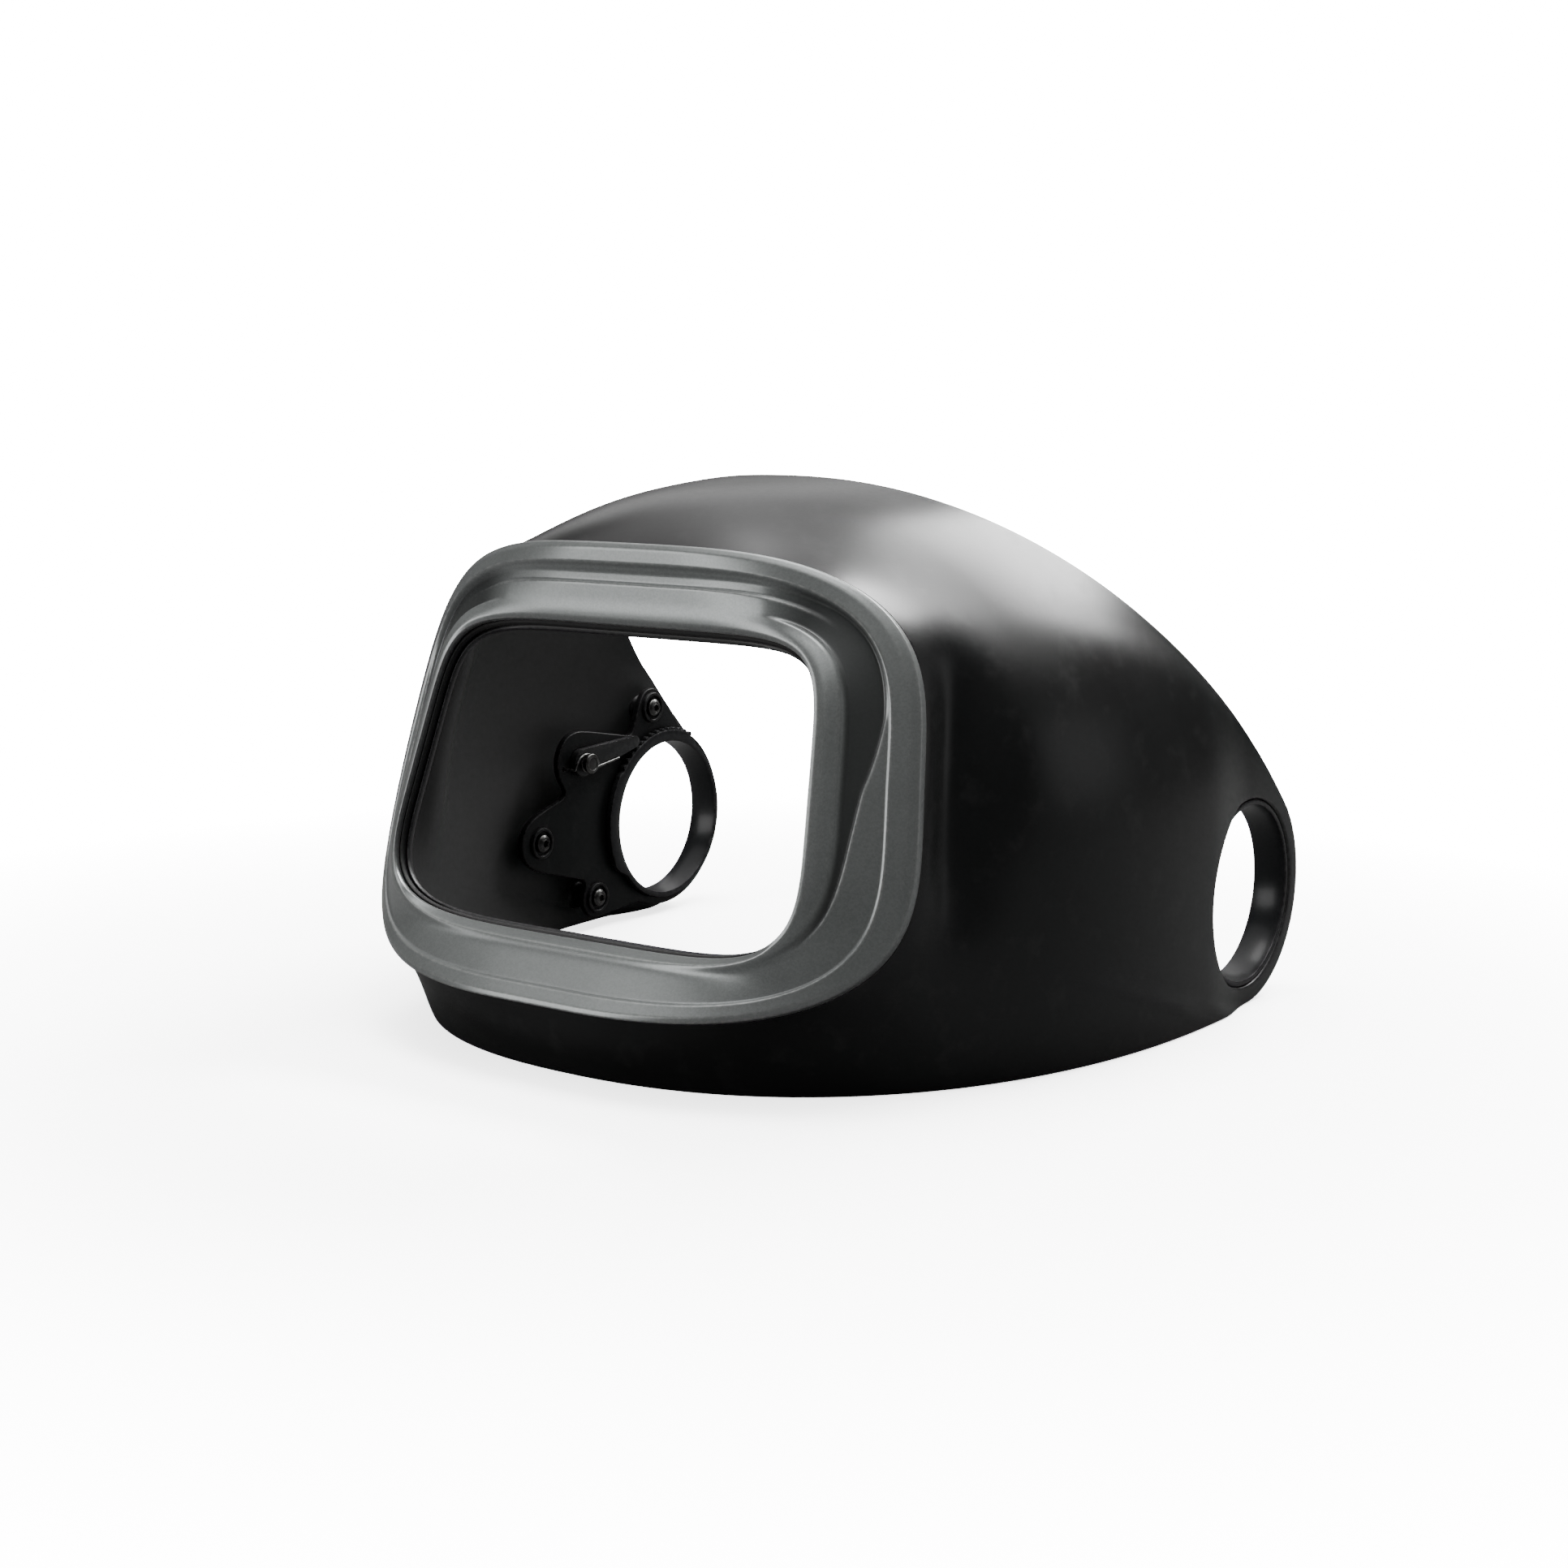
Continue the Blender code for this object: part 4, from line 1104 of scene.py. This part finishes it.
@dataclass
class FrontFrame:
    """The silver-grey frame: inner lip, side channels, wide brow and an outer bead."""

    around: int = 560
    steps: int = 54
    lip: float = 0.0008
    lip_at: float = 0.13
    lip_width: float = 0.10
    channel: float = 0.0016
    channel_inner: float = 0.27
    channel_up: tuple[float, ...] = (-0.95, -0.7, -0.25, 0.1, 0.5, 0.8, 0.97)
    channel_outer: tuple[float, ...] = (0.20, 0.27, 0.40, 0.52, 0.66, 0.69, 0.69)
    brow: float = 0.0007
    bead: float = 0.0010
    edge: float = 0.0006

    def position(self, angle: Array) -> tuple[Array, Array]:
        """How far across and how far up each station is on the window, up to 1.

        Args:
            angle: angles round the window, in radians.
        Returns:
            How far across and how far up.
        """
        c, s = np.cos(angle), np.sin(angle)
        power = np.where(s > 0.0, *FORM.window_powers)
        return np.abs(spow(c, 2.0 / power)), spow(s, 2.0 / power)

    def hollow(self, share: float, across: Array, up: Array) -> Array:
        """Share of the side channel's full depth: wide at the top corner, narrow at the bottom. The same share
        is the painted shade that darkens the lacquer in the channel.

        Args:
            share: how far from the window's edge to the frame's.
            across: how far across each station is.
            up: how far up it is.
        Returns:
            The share at each station.
        """
        inner = self.channel_inner - 0.10 * ease(-up, 0.2, 0.9)
        outer = np.interp(up, self.channel_up, self.channel_outer)
        reach = ease(across, 0.70, 0.86) * ease(up, -0.93, -0.6)
        rise = np.clip((share - inner + 0.02) / 0.05, 0.0, 1.0)
        fall = np.clip((outer + 0.03 - share) / 0.07, 0.0, 1.0)
        return reach * rise * rise * (3.0 - 2.0 * rise) * fall * fall * (3.0 - 2.0 * fall)

    def relief(self, share: float, angle: Array) -> tuple[Array, Array]:
        """Depth of the front face and the channel share there, which also sets the lacquer's painted shade; a
        negative depth stands proud.

        Args:
            share: how far from the window's edge to the frame's.
            angle: angles round the window, in radians.
        Returns:
            The depth and the channel share, the mask of the painted shade, at each station.
        """
        across, up = self.position(angle)
        top = ease(up, 0.86, 0.995) * (1.0 - ease(across, 0.80, 0.97))
        hollow = self.hollow(share, across, up)
        lip = math.exp(-((share - self.lip_at) / self.lip_width) ** 2)
        depth = self.channel * hollow - self.lip * lip * (1.0 - 0.75 * top)
        bead = float(ease(share, 0.69, 0.745) * (1.0 - 0.75 * ease(share, 0.90, 1.0)))
        depth -= self.bead * bead
        step = float(ease(share, 0.48, 0.53) * (1.0 - ease(share, 0.62, 0.70)))
        depth += top * self.brow * step
        sill = ease(-up, 0.82, 0.99) * (1.0 - ease(across, 0.86, 0.99))
        width = 0.055 + 0.075 * sill
        depth += (0.0006 + 0.0015 * sill) * np.clip(1.0 - share / width, 0.0, 1.0)
        for start in (0.0, 1.0):
            off = abs(share - start) * 0.020
            edge = self.edge * (0.4 if start == 0.0 else 1.0)
            if off < edge:
                depth = depth + edge - math.sqrt(max(edge ** 2 - (edge - off) ** 2, 0.0))
        return np.minimum(depth, FORM.frame_wall - 0.0003), hollow

    def build(self) -> None:
        """Makes the frame."""
        angle = FORM.stations(self.around, 0.0)
        near = np.array([0.0, 0.002, 0.006, 0.013, 0.022, 0.034])
        shares = np.concatenate([near, np.linspace(0.05, 0.95, self.steps), 1.0 - near[::-1]])
        rows, hollow_and_shade_rows = [], []
        for share in shares:
            depth, hollow = self.relief(float(share), angle)
            rows.append(FORM.between(angle, share, depth))
            hollow_and_shade_rows.append(hollow)
        back = FORM.frame_wall
        for share, depth in ((1.0, back - 0.0006), (0.994, back), (0.75, back), (0.50, back), (0.24, back),
                             (0.006, back), (0.0, back - 0.0001)):
            rows.append(FORM.between(angle, share, depth))
            hollow_and_shade_rows.append(0.0 * angle)
        obj = piece("frame_moulding", grid(np.array(rows)), Finishes.FRAME, "frame", ["front_frame"], 50.0)
        # Writes the channel share as the mask of the lacquer's painted shade in the side channels.
        write_level(obj.data, "hollow", np.concatenate(hollow_and_shade_rows))


@dataclass
class WindowSeal:
    """Gasket and bezel behind the frame, with the bezel's four screws."""

    around: int = 320
    gasket: float = 0.0025
    bezel_wall: float = 0.0022
    screw_angles: tuple[float, ...] = (48.0, 132.0, -132.0, -48.0)
    screw_head: float = 0.0021

    def ring(self, name: str, node: str, finish: Finishes, section: Sequence[tuple[float, float]]) -> None:
        """One ring that follows the window.

        Args:
            name: the piece's name.
            node: the CAD node that it stands for.
            finish: what it is made of.
            section: closed loop of (share, depth).
        """
        angle = FORM.stations(self.around, 0.0)
        rows = np.array([FORM.between(angle, share, depth) for share, depth in section])
        piece(name, grid(rows), finish, "shield", [node], 40.0)

    def seat(self, degrees: float) -> tuple[Array, Array]:
        """Place and way out of a screw on the bezel's back face.

        Args:
            degrees: where the screw is round the window.
        Returns:
            The place and the way out.
        """
        angle = np.array([math.radians(degrees)])
        depth = FORM.frame_wall + 2.0 * GAP + self.gasket + self.bezel_wall
        place = FORM.between(angle, 0.62, depth)[0]
        da = FORM.between(angle + 0.01, 0.62, depth)[0] - FORM.between(angle - 0.01, 0.62, depth)[0]
        ds = FORM.between(angle, 0.63, depth)[0] - FORM.between(angle, 0.61, depth)[0]
        normal = np.cross(da, ds)
        normal /= np.linalg.norm(normal)
        return place, normal * math.copysign(1.0, float(normal @ FORM.inward))

    def build(self, tree: Tree, template: bpy.types.Object) -> None:
        """Makes the gasket, the bezel and the screws.

        Args:
            tree: the tree that sets screws.
            template: the screw that it copies.
        """
        near = FORM.frame_wall + GAP
        far = near + self.gasket
        self.ring("window_gasket_seal", "window_gasket", Finishes.SEAL, [
            (-0.030, near), (0.0, near), (0.12, near), (0.24, near), (0.24, far), (0.0, far), (-0.030, far),
            (-0.043, far - 0.0003), (-0.050, far - 0.0009), (-0.050, near + 0.0009), (-0.043, near + 0.0003)])
        low, high = far + GAP, far + GAP + self.bezel_wall
        self.ring("window_bezel_ring", "window_bezel", Finishes.BEZEL, [
            (-0.075, low), (-0.05, low), (0.24, low), (0.50, low), (0.74, low), (0.74, high - 0.0006),
            (0.725, high - 0.0002), (0.71, high), (0.50, high), (0.46, high - 0.0006), (0.20, high - 0.0006),
            (0.16, high), (-0.06, high), (-0.08, high - 0.0003), (-0.09, high - 0.0008), (-0.09, low + 0.0006),
            (-0.085, low + 0.0002)])
        seats = [self.seat(a) for a in self.screw_angles]
        points = point_mesh("bezel_seats", [p + n * GAP for p, n in seats], [n for _, n in seats])
        mesh = tree.run("bezel_screws", points, Screw=template, Head_Radius=self.screw_head, Seed=5,
                        Material=coat_of(Finishes.STEEL))
        piece("bezel_screws", mesh, Finishes.STEEL, "shield", [f"bezel_screw_{k}" for k in range(1, 5)])


# ------------------------------------------------------------------ pivots


@dataclass
class Lobe:
    """One lobe of the detent plate, by its turn up from forward, in degrees."""

    turn: float
    beyond: float
    radius: float

    def centre(self, flange: float) -> Array:
        """Its centre, forward of and above the pivot."""
        turn = math.radians(self.turn)
        return (flange + self.beyond) * np.array([math.cos(turn), math.sin(turn)])


def screw_template() -> bpy.types.Object:
    """Pan-head screw of head radius 1 with a hexagon socket; its seat is at height 0.

    Returns:
        The object, which the screws copy.
    """
    bm = bmesh.new()
    count = 36
    head = rounded([(0.50, 0.0), (1.0, 0.0), (1.0, 0.34), (0.62, 0.62)], 0.12, 3)
    profile = [(0.42, -2.0), (0.50, -1.9), *head[1:]]
    rows = [[bm.verts.new((r * math.cos(a), r * math.sin(a), z)) for a in np.arange(count) * (TURN / count)]
            for r, z in profile]
    for z in (0.60, 0.24):
        row = []
        for a in np.arange(count) * (TURN / count):
            r = 0.44 * math.cos(math.pi / 6.0) / math.cos((a + math.pi / 6.0) % (math.pi / 3.0) - math.pi / 6.0)
            row.append(bm.verts.new((r * math.cos(a), r * math.sin(a), z)))
        rows.append(row)
    for one, two in zip(rows, rows[1:]):
        for j in range(count):
            k = (j + 1) % count
            bm.faces.new((one[j], one[k], two[k], two[j]))
    for row, z in ((rows[0], -2.1), (rows[-1], 0.20)):
        tip = bm.verts.new((0.0, 0.0, z))
        for j in range(count):
            bm.faces.new((row[j], row[(j + 1) % count], tip))
    bmesh.ops.recalc_face_normals(bm, faces=bm.faces)
    return linked("screw_template", as_mesh("screw_template", bm))


@dataclass
class Pivot:
    """One side's pivot ring, detent plate, pawl, pin, spring and screws."""

    side: float
    tag: str
    bore: float = 0.02675
    outer: float = 0.02835
    flange_least: float = 0.0003
    flange_rim: float = 0.0034
    flange_wall: float = 0.0022
    flange_from: float = math.radians(-40.0)
    tooth_from: float = math.radians(38.0)
    tooth_to: float = math.radians(126.0)
    tooth: float = 0.0012
    slot: float = 0.0008
    slot_width: float = 0.0018
    ring_edge: float = 0.0004
    bead: float = 0.0010
    teeth: int = 14
    shell_bore: float = 0.02865
    plate_land: float = 0.0028
    web: float = 0.0270
    pin: float = 0.0018
    pin_head: float = 0.0034
    wire: float = 0.0004
    coil: float = 0.0028
    coil_pitch: float = 2.6
    eye: float = 0.0046
    nose: float = 0.0020
    nose_angle: float = math.radians(58.0)
    screw_head: float = 0.0030
    lobes: dict[str, Lobe] = field(default_factory=lambda: {
        "arm": Lobe(0.0, 0.0330, 0.0095), "pawl": Lobe(28.8, 0.0200, 0.0105),
        "top": Lobe(81.5, 0.0080, 0.0068), "low": Lobe(-32.4, 0.0115, 0.0070)})

    def __post_init__(self) -> None:
        """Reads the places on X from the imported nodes."""
        def span(node: str) -> tuple[float, float]:
            """Nearest and furthest place of a node from the middle plane."""
            ends = sorted(abs(corner.x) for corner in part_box(f"{node}_{self.tag}"))
            return ends[0], ends[1]
        self.ring_back, self.ring_end = span("pivot_ring")
        self.plate_back, self.plate_face = span("detent_plate")
        self.pawl_back, self.pawl_face = span("detent_pawl")
        self.flange = self.outer + self.flange_rim
        self.screwed = [self.lobes[n].centre(self.flange) for n in ("arm", "top", "low")]
        self.eye_place = self.lobes["pawl"].centre(self.flange)
        self.nose_place = (self.flange + GAP + self.nose) * np.array(
            [math.cos(self.nose_angle), math.sin(self.nose_angle)])

    def loop(self, points: Iterable[Sequence[float]]) -> list[tuple[float, float]]:
        """(forward, up) points as (y, z) points."""
        return [(FORM.pivot.y - forward, FORM.pivot.z + up) for forward, up in points]

    def hole(self, centre: Sequence[float], radius: float, count: int = 32) -> list[tuple[float, float]]:
        """Round hole about a (forward, up) centre."""
        return self.loop([(centre[0] + radius * math.cos(a), centre[1] + radius * math.sin(a))
                          for a in np.arange(count) * (TURN / count)])

    def place(self, x: float, point: Sequence[float]) -> tuple[float, float, float]:
        """Point in space at a distance from the middle plane."""
        return self.side * x, FORM.pivot.y - point[0], FORM.pivot.z + point[1]

    def build_ring(self, tree: Tree) -> None:
        """The pivot ring and the round teeth on its flange.

        Args:
            tree: the tree that sets teeth.
        """
        count = 240
        turn = np.arange(count) * (TURN / count)
        along = (turn - self.flange_from) % TURN
        inside = np.minimum(along, (self.tooth_to - turn) % TURN)
        inside = np.where(along < self.tooth_to - self.flange_from, inside, 0.0)
        rim = self.flange_least + (self.flange_rim - self.flange_least) * ease(inside, 0.0, 0.26)
        toothed = ease(turn, self.tooth_from - 0.05, self.tooth_from)
        toothed = toothed * (1.0 - ease(turn, self.tooth_to - 0.16, self.tooth_to - 0.10))
        rim -= (self.tooth * 0.8) * toothed
        back, front, end = self.ring_back, self.ring_back + self.flange_wall, self.ring_end
        slot_x, slot_r = self.plate_face, self.outer - self.slot
        slot_end = slot_x + self.slot_width
        bore, outer, e = self.bore, self.outer, self.ring_edge
        section = [(bore, back + e, 0.0), (bore + 0.3 * e, back + 0.3 * e, 0.0), (bore + e, back, 0.0),
                   (outer - e, back, 1.0), (outer - 0.3 * e, back + 0.3 * e, 1.0), (outer, back + e, 1.0),
                   (outer, front - e, 1.0), (outer - 0.3 * e, front - 0.3 * e, 1.0),
                   (outer - 0.00008, front, 0.05), (outer, slot_x, 0.0), (slot_r, slot_x, 0.0),
                   (slot_r, slot_end, 0.0), (outer, slot_end, 0.0), (outer, end - e, 0.0),
                   (outer - 0.3 * e, end - 0.3 * e, 0.0), (outer - e, end, 0.0), (bore + e, end, 0.0),
                   (bore + 0.3 * e, end - 0.3 * e, 0.0), (bore, end - e, 0.0),
                   (bore, 0.5 * (front + end), 0.0)]
        rows = []
        for radius, x, share in section:
            size = radius + share * rim
            rows.append(np.stack([self.side * x + 0.0 * turn, FORM.pivot.y - size * np.cos(turn),
                                  FORM.pivot.z + size * np.sin(turn)], -1))
        piece(f"pivot_collar_{self.tag}", grid(np.array(rows)), Finishes.RING, f"ring_{self.tag}",
              [f"pivot_ring_{self.tag}"], 40.0)
        root = self.flange - self.bead - 0.0001
        mesh = tree.run(f"flange_teeth_{self.tag}", bpy.data.meshes.new("arc_start"), Root_Radius=root,
                        Start=self.tooth_from + 0.06, Sweep=self.tooth_to - self.tooth_from - 0.26,
                        Teeth=self.teeth, Tooth_Radius=self.bead, Tooth_Width=self.flange_wall - 0.0004,
                        Material=coat_of(Finishes.RING))
        middle = 0.5 * (back + front)
        mesh.transform(Matrix(((0.0, 0.0, self.side, self.side * middle), (-1.0, 0.0, 0.0, FORM.pivot.y),
                               (0.0, 1.0, 0.0, FORM.pivot.z), (0.0, 0.0, 0.0, 1.0))))
        piece(f"flange_teeth_{self.tag}", as_bmesh(mesh), Finishes.RING, f"ring_{self.tag}",
              dress=bevelled(0.00015, 2))
        clip = frame["nodes"][f"ring_clip_{self.tag}"]
        clip.data.materials.clear()
        clip.data.materials.append(coat_of(Finishes.STEEL))

    def plate_radius(self, angle: float) -> float:
        """Outline of the detent plate as a radius about the pivot.

        Args:
            angle: turn up from forward, in radians.
        Returns:
            The radius there.
        """
        ray = np.array([math.cos(angle), math.sin(angle)])
        best = self.shell_bore + self.plate_land
        for lobe in self.lobes.values():
            centre = lobe.centre(self.flange)
            for k in np.linspace(0.0, 1.0, 90):
                middle, size = centre * k, lobe.radius + (self.web - lobe.radius) * (1.0 - k)
                along = ray @ middle
                off = middle @ middle - along * along
                if along > -1e-9 and off < size * size and k * np.linalg.norm(centre) > 0.004:
                    best = max(best, along + math.sqrt(size * size - off))
        return best

    def anchor(self) -> Array:
        """Where the spring's wire is held in the plate."""
        radius = self.lobes["pawl"].radius
        return self.eye_place + np.array([0.70 * radius, -0.15 * radius])

    def build_plate(self) -> None:
        """The detent plate with raised collars round its screws and bore."""
        turns = np.arange(260) * (TURN / 260)
        radii = np.array([self.plate_radius(a) for a in turns])
        for _ in range(3):
            radii = 0.25 * np.roll(radii, 1) + 0.5 * radii + 0.25 * np.roll(radii, -1)
        outline = self.loop(np.stack([radii * np.cos(turns), radii * np.sin(turns)], -1))
        holes = [self.hole((0.0, 0.0), self.shell_bore, 120)]
        holes += [self.hole(c, 0.0018) for c in self.screwed]
        holes += [self.hole(self.eye_place, self.pin + GAP), self.hole(self.anchor(), self.wire + GAP, 12)]
        bm = slab(outline, holes, self.side * self.plate_face, self.side * self.plate_back)
        piece(f"detent_plate_body_{self.tag}", bm, Finishes.PLATE, "shield", [f"detent_plate_{self.tag}"], 32.0,
              bevelled(0.00035, 3))
        bm = bmesh.new()
        sunk = 0.0002
        for centre in self.screwed:
            profile = rounded([(0.0040, -sunk), (0.0054, -sunk), (0.0052, 0.0011), (0.0042, 0.0011)], 0.0003, 3)
            lathe(bm, profile, self.place(self.plate_back, centre), (-self.side, 0.0, 0.0), 48)
        piece(f"plate_collars_{self.tag}", bm, Finishes.PLATE, "shield", smooth=40.0)

    def build_pawl(self, wires: Tree) -> None:
        """The pawl, its pin and its spring.

        Args:
            wires: the tree that draws wire.
        """
        way = self.nose_place - self.eye_place
        reach = float(np.linalg.norm(way))
        heading = math.atan2(way[1], way[0])
        lean = math.acos((self.eye - self.nose) / reach)
        back = heading + lean + np.linspace(0.0, 2.0 * (math.pi - lean), 44)
        front = heading - lean + np.linspace(0.0, 2.0 * lean, 22)
        outline = [self.eye_place + self.eye * np.array([math.cos(a), math.sin(a)]) for a in back]
        outline += [self.nose_place + self.nose * np.array([math.cos(a), math.sin(a)]) for a in front]
        bm = slab(self.loop(outline), [self.hole(self.eye_place, self.pin + GAP)], self.side * self.pawl_face,
                  self.side * self.pawl_back)
        piece(f"pawl_lever_{self.tag}", bm, Finishes.PAWL, f"pawl_{self.tag}",
              [f"detent_pawl_{self.tag}"], 32.0, bevelled(0.00035, 3))
        room = (1.5 * self.coil_pitch + 2.0) * self.wire + 2.0 * GAP
        long = self.pawl_face - self.pawl_back + self.plate_face - self.plate_back + GAP + room
        head = rounded([(self.pin, 0.0), (self.pin_head, 0.0), (self.pin_head, 0.0007), (0.0022, 0.00115)],
                       0.0003, 3)
        profile = [(0.0, -long), (self.pin - 0.0003, -long), (self.pin, 0.0003 - long), *head[1:],
                   (0.0, 0.00125)]
        piece(f"pawl_pin_body_{self.tag}",
              lathe(bmesh.new(), profile, self.place(self.pawl_back - room, self.eye_place),
                    (-self.side, 0.0, 0.0), 40), Finishes.STEEL, "shield", [f"pawl_pin_{self.tag}"])
        low = self.pawl_back - GAP - self.wire
        high = low - 1.5 * self.coil_pitch * self.wire
        anchor = self.anchor()
        start = math.atan2(*(anchor - self.eye_place)[::-1])
        tail = heading + 0.5 * math.pi
        sweep = (tail - start) % TURN + TURN
        spread = float(np.linalg.norm(anchor - self.eye_place)) - self.coil
        points = [self.place(self.plate_face - 0.4 * (self.plate_face - self.plate_back), anchor)]
        points += [self.place(self.plate_back + (high - self.plate_back) * k, anchor)
                   for k in np.linspace(-0.05, 0.80, 10)]
        for k in np.linspace(0.0, 1.0, 96):
            a = start + sweep * k
            size = self.coil + spread * max(1.0 - 5.0 * k, 0.0) ** 2
            end = self.eye_place + size * np.array([math.cos(a), math.sin(a)])
            points.append(self.place(high + (low - high) * k, end))
        leg = 0.62 * reach * np.array([math.cos(heading), math.sin(heading)])
        points += [self.place(low, end + leg * k) for k in np.linspace(0.1, 1.0, 8)]
        path = bpy.data.meshes.new("spring_path")
        path.from_pydata(points, [(i, i + 1) for i in range(len(points) - 1)], [])
        mesh = wires.run(f"pawl_spring_wire_{self.tag}", path, Wire_Radius=self.wire, Faces_Round=12,
                         Material=coat_of(Finishes.STEEL))
        piece(f"pawl_spring_wire_{self.tag}", as_bmesh(mesh), Finishes.STEEL, "shield",
              [f"pawl_spring_{self.tag}"], 60.0)

    def build_screws(self, tree: Tree, template: bpy.types.Object) -> None:
        """The plate's three screws.

        Args:
            tree: the tree that sets screws.
            template: the screw that it copies.
        """
        places = [self.place(self.plate_back - GAP, c) for c in self.screwed]
        points = point_mesh("plate_seats", places, [(-self.side, 0.0, 0.0)] * len(places))
        mesh = tree.run(f"plate_screws_{self.tag}", points, Screw=template, Head_Radius=self.screw_head,
                        Seed=11 if self.side > 0.0 else 17, Material=coat_of(Finishes.STEEL))
        piece(f"plate_screws_{self.tag}", mesh, Finishes.STEEL, "shield",
              [f"plate_screw_{n}_{self.tag}" for n in ("arm", "top", "low")])


# ------------------------------------------------------------------ studio


@dataclass(frozen=True)
class Softbox:
    """A soft area light."""

    name: str
    place: tuple[float, float, float]
    aim: tuple[float, float, float]
    size: tuple[float, float]
    power: float

    def build(self) -> None:
        """Hangs the light."""
        data = bpy.data.lights.new(self.name, "AREA")
        data.shape, data.size, data.size_y, data.energy = "RECTANGLE", self.size[0], self.size[1], self.power
        obj = linked(self.name, data)
        obj.location = self.place
        obj.rotation_euler = (Vector(self.aim) - Vector(self.place)).to_track_quat("-Z", "Y").to_euler()


@dataclass
class Studio:
    """Pale floor, soft light and the camera.

    The floor and the air are brighter to the camera than to the light that reaches the shield, so
    that the ground behind it is white and its black sides stay black. Nothing on the shield does this.
    """

    eye: tuple[float, float, float] = (0.42963, -0.58922, 0.18739)
    look: tuple[float, float, float] = (-0.57989, 0.79815, -0.16333)
    lens: float = 56.46
    ambient: float = 0.09
    backdrop: float = 24.0
    # Floor glow near the shield and far from it; the weaker glow near it is painted shade round the shield.
    glow: tuple[float, float] = (2.7, 24.0)
    fade: tuple[float, float] = (0.15, 0.75)
    floor_half: float = 6.0
    floor_below: float = 0.0002
    floor_seen: tuple[float, float] = (2.75, 2.80)
    floor_bounce: float = 0.12
    boxes: tuple[Softbox, ...] = (
        Softbox("rear_softbox", (0.12, 1.16, 1.04), (0.0, 0.0, 0.10), (0.80, 0.36), 30.0),
        Softbox("left_softbox", (-0.92, 1.10, 0.80), (0.0, 0.0, 0.10), (0.9, 0.5), 1.8),
        Softbox("overhead_softbox", (0.0, 0.10, 1.20), (0.0, 0.0, 0.08), (0.9, 0.7), 13.0),
        Softbox("ceiling_panel", (0.0, 0.5, 3.2), (0.0, 0.5, 0.0), (6.0, 6.0), 160.0),
        Softbox("front_softbox", (-0.75, -1.25, 0.42), (0.0, -0.05, 0.07), (0.8, 0.6), 8.5),
        Softbox("side_softbox", (1.40, 0.75, 0.40), (0.05, 0.0, 0.06), (0.5, 0.6), 0.9),
    )

    def build(self) -> None:
        """Sets the scene round the shield."""
        bm = bmesh.new()
        bmesh.ops.create_grid(bm, x_segments=1, y_segments=1, size=self.floor_half)
        mesh = as_mesh("studio_floor", bm)
        mesh.transform(Matrix.Translation((0.0, 0.0, -self.floor_below)))
        floor = linked("studio_floor", mesh)
        paint = Paint("pale_floor")
        seen = paint.node("ShaderNodeLightPath", output="Is Camera Ray")
        shade = paint.mix(paint.noise(0.6, 2.0), *((level,) * 3 for level in self.floor_seen))
        shade = paint.mix(seen, (self.floor_bounce,) * 3, shade)
        # Painted shade on the floor: its glow, seen only by the camera, is weakest near the shield and grows
        # farther out, so the floor round the shield is darker than the white floor beyond.
        reach = paint.node("ShaderNodeVectorMath", {"operation": "LENGTH"},
                           {0: paint.node("ShaderNodeTexCoord", output="Object")}, "Value")
        away = paint.node("ShaderNodeMapRange", {"interpolation_type": "SMOOTHSTEP"},
                          {"Value": reach, "From Min": self.fade[0], "From Max": self.fade[1]})
        glow = paint.mix(away, (self.glow[0],) * 3, (self.glow[1],) * 3)
        paint.feed(Base_Color=shade, Roughness=0.9, Emission_Strength=1.0,
                   Emission_Color=paint.mix(seen, (0.0, 0.0, 0.0), glow))
        mesh.materials.append(paint.material)
        world = bpy.data.worlds.new("studio_air")
        world.use_nodes = True
        tree = world.node_tree
        air = tree.nodes["Background"]
        air.inputs["Color"].default_value = (1.0, 1.0, 1.0, 1.0)
        path, level = tree.nodes.new("ShaderNodeLightPath"), tree.nodes.new("ShaderNodeMapRange")
        level.inputs["To Min"].default_value = self.ambient
        level.inputs["To Max"].default_value = self.backdrop
        tree.links.new(path.outputs["Is Camera Ray"], level.inputs["Value"])
        tree.links.new(level.outputs["Result"], air.inputs["Strength"])
        bpy.context.scene.world = world
        for box in self.boxes:
            box.build()
        data = bpy.data.cameras.new("camera")
        data.lens, data.sensor_width = self.lens, 36.0
        data.clip_start, data.clip_end = 0.01, 50.0
        camera = linked("camera", data)
        camera.location = self.eye
        camera.rotation_euler = Vector(self.look).to_track_quat("-Z", "Y").to_euler()
        bpy.context.scene.camera = camera


def main() -> None:
    """Builds the shield, piece by piece, and its studio."""
    logging.basicConfig(level=logging.INFO, format="%(message)s")
    screws, teeth, wires = screw_tree(), teeth_tree(), wire_tree()
    template = screw_template()
    pivots = [Pivot(1.0, "left"), Pivot(-1.0, "right")]
    Shell(bosses=tuple(tuple(c) for c in pivots[0].screwed)).build()
    FrontFrame().build()
    WindowSeal().build(screws, template)
    for pivot in pivots:
        pivot.build_ring(teeth)
        pivot.build_plate()
        pivot.build_pawl(wires)
        pivot.build_screws(screws, template)
    bpy.data.objects.remove(template)
    Studio().build()


if __name__ == "__main__":
    main()
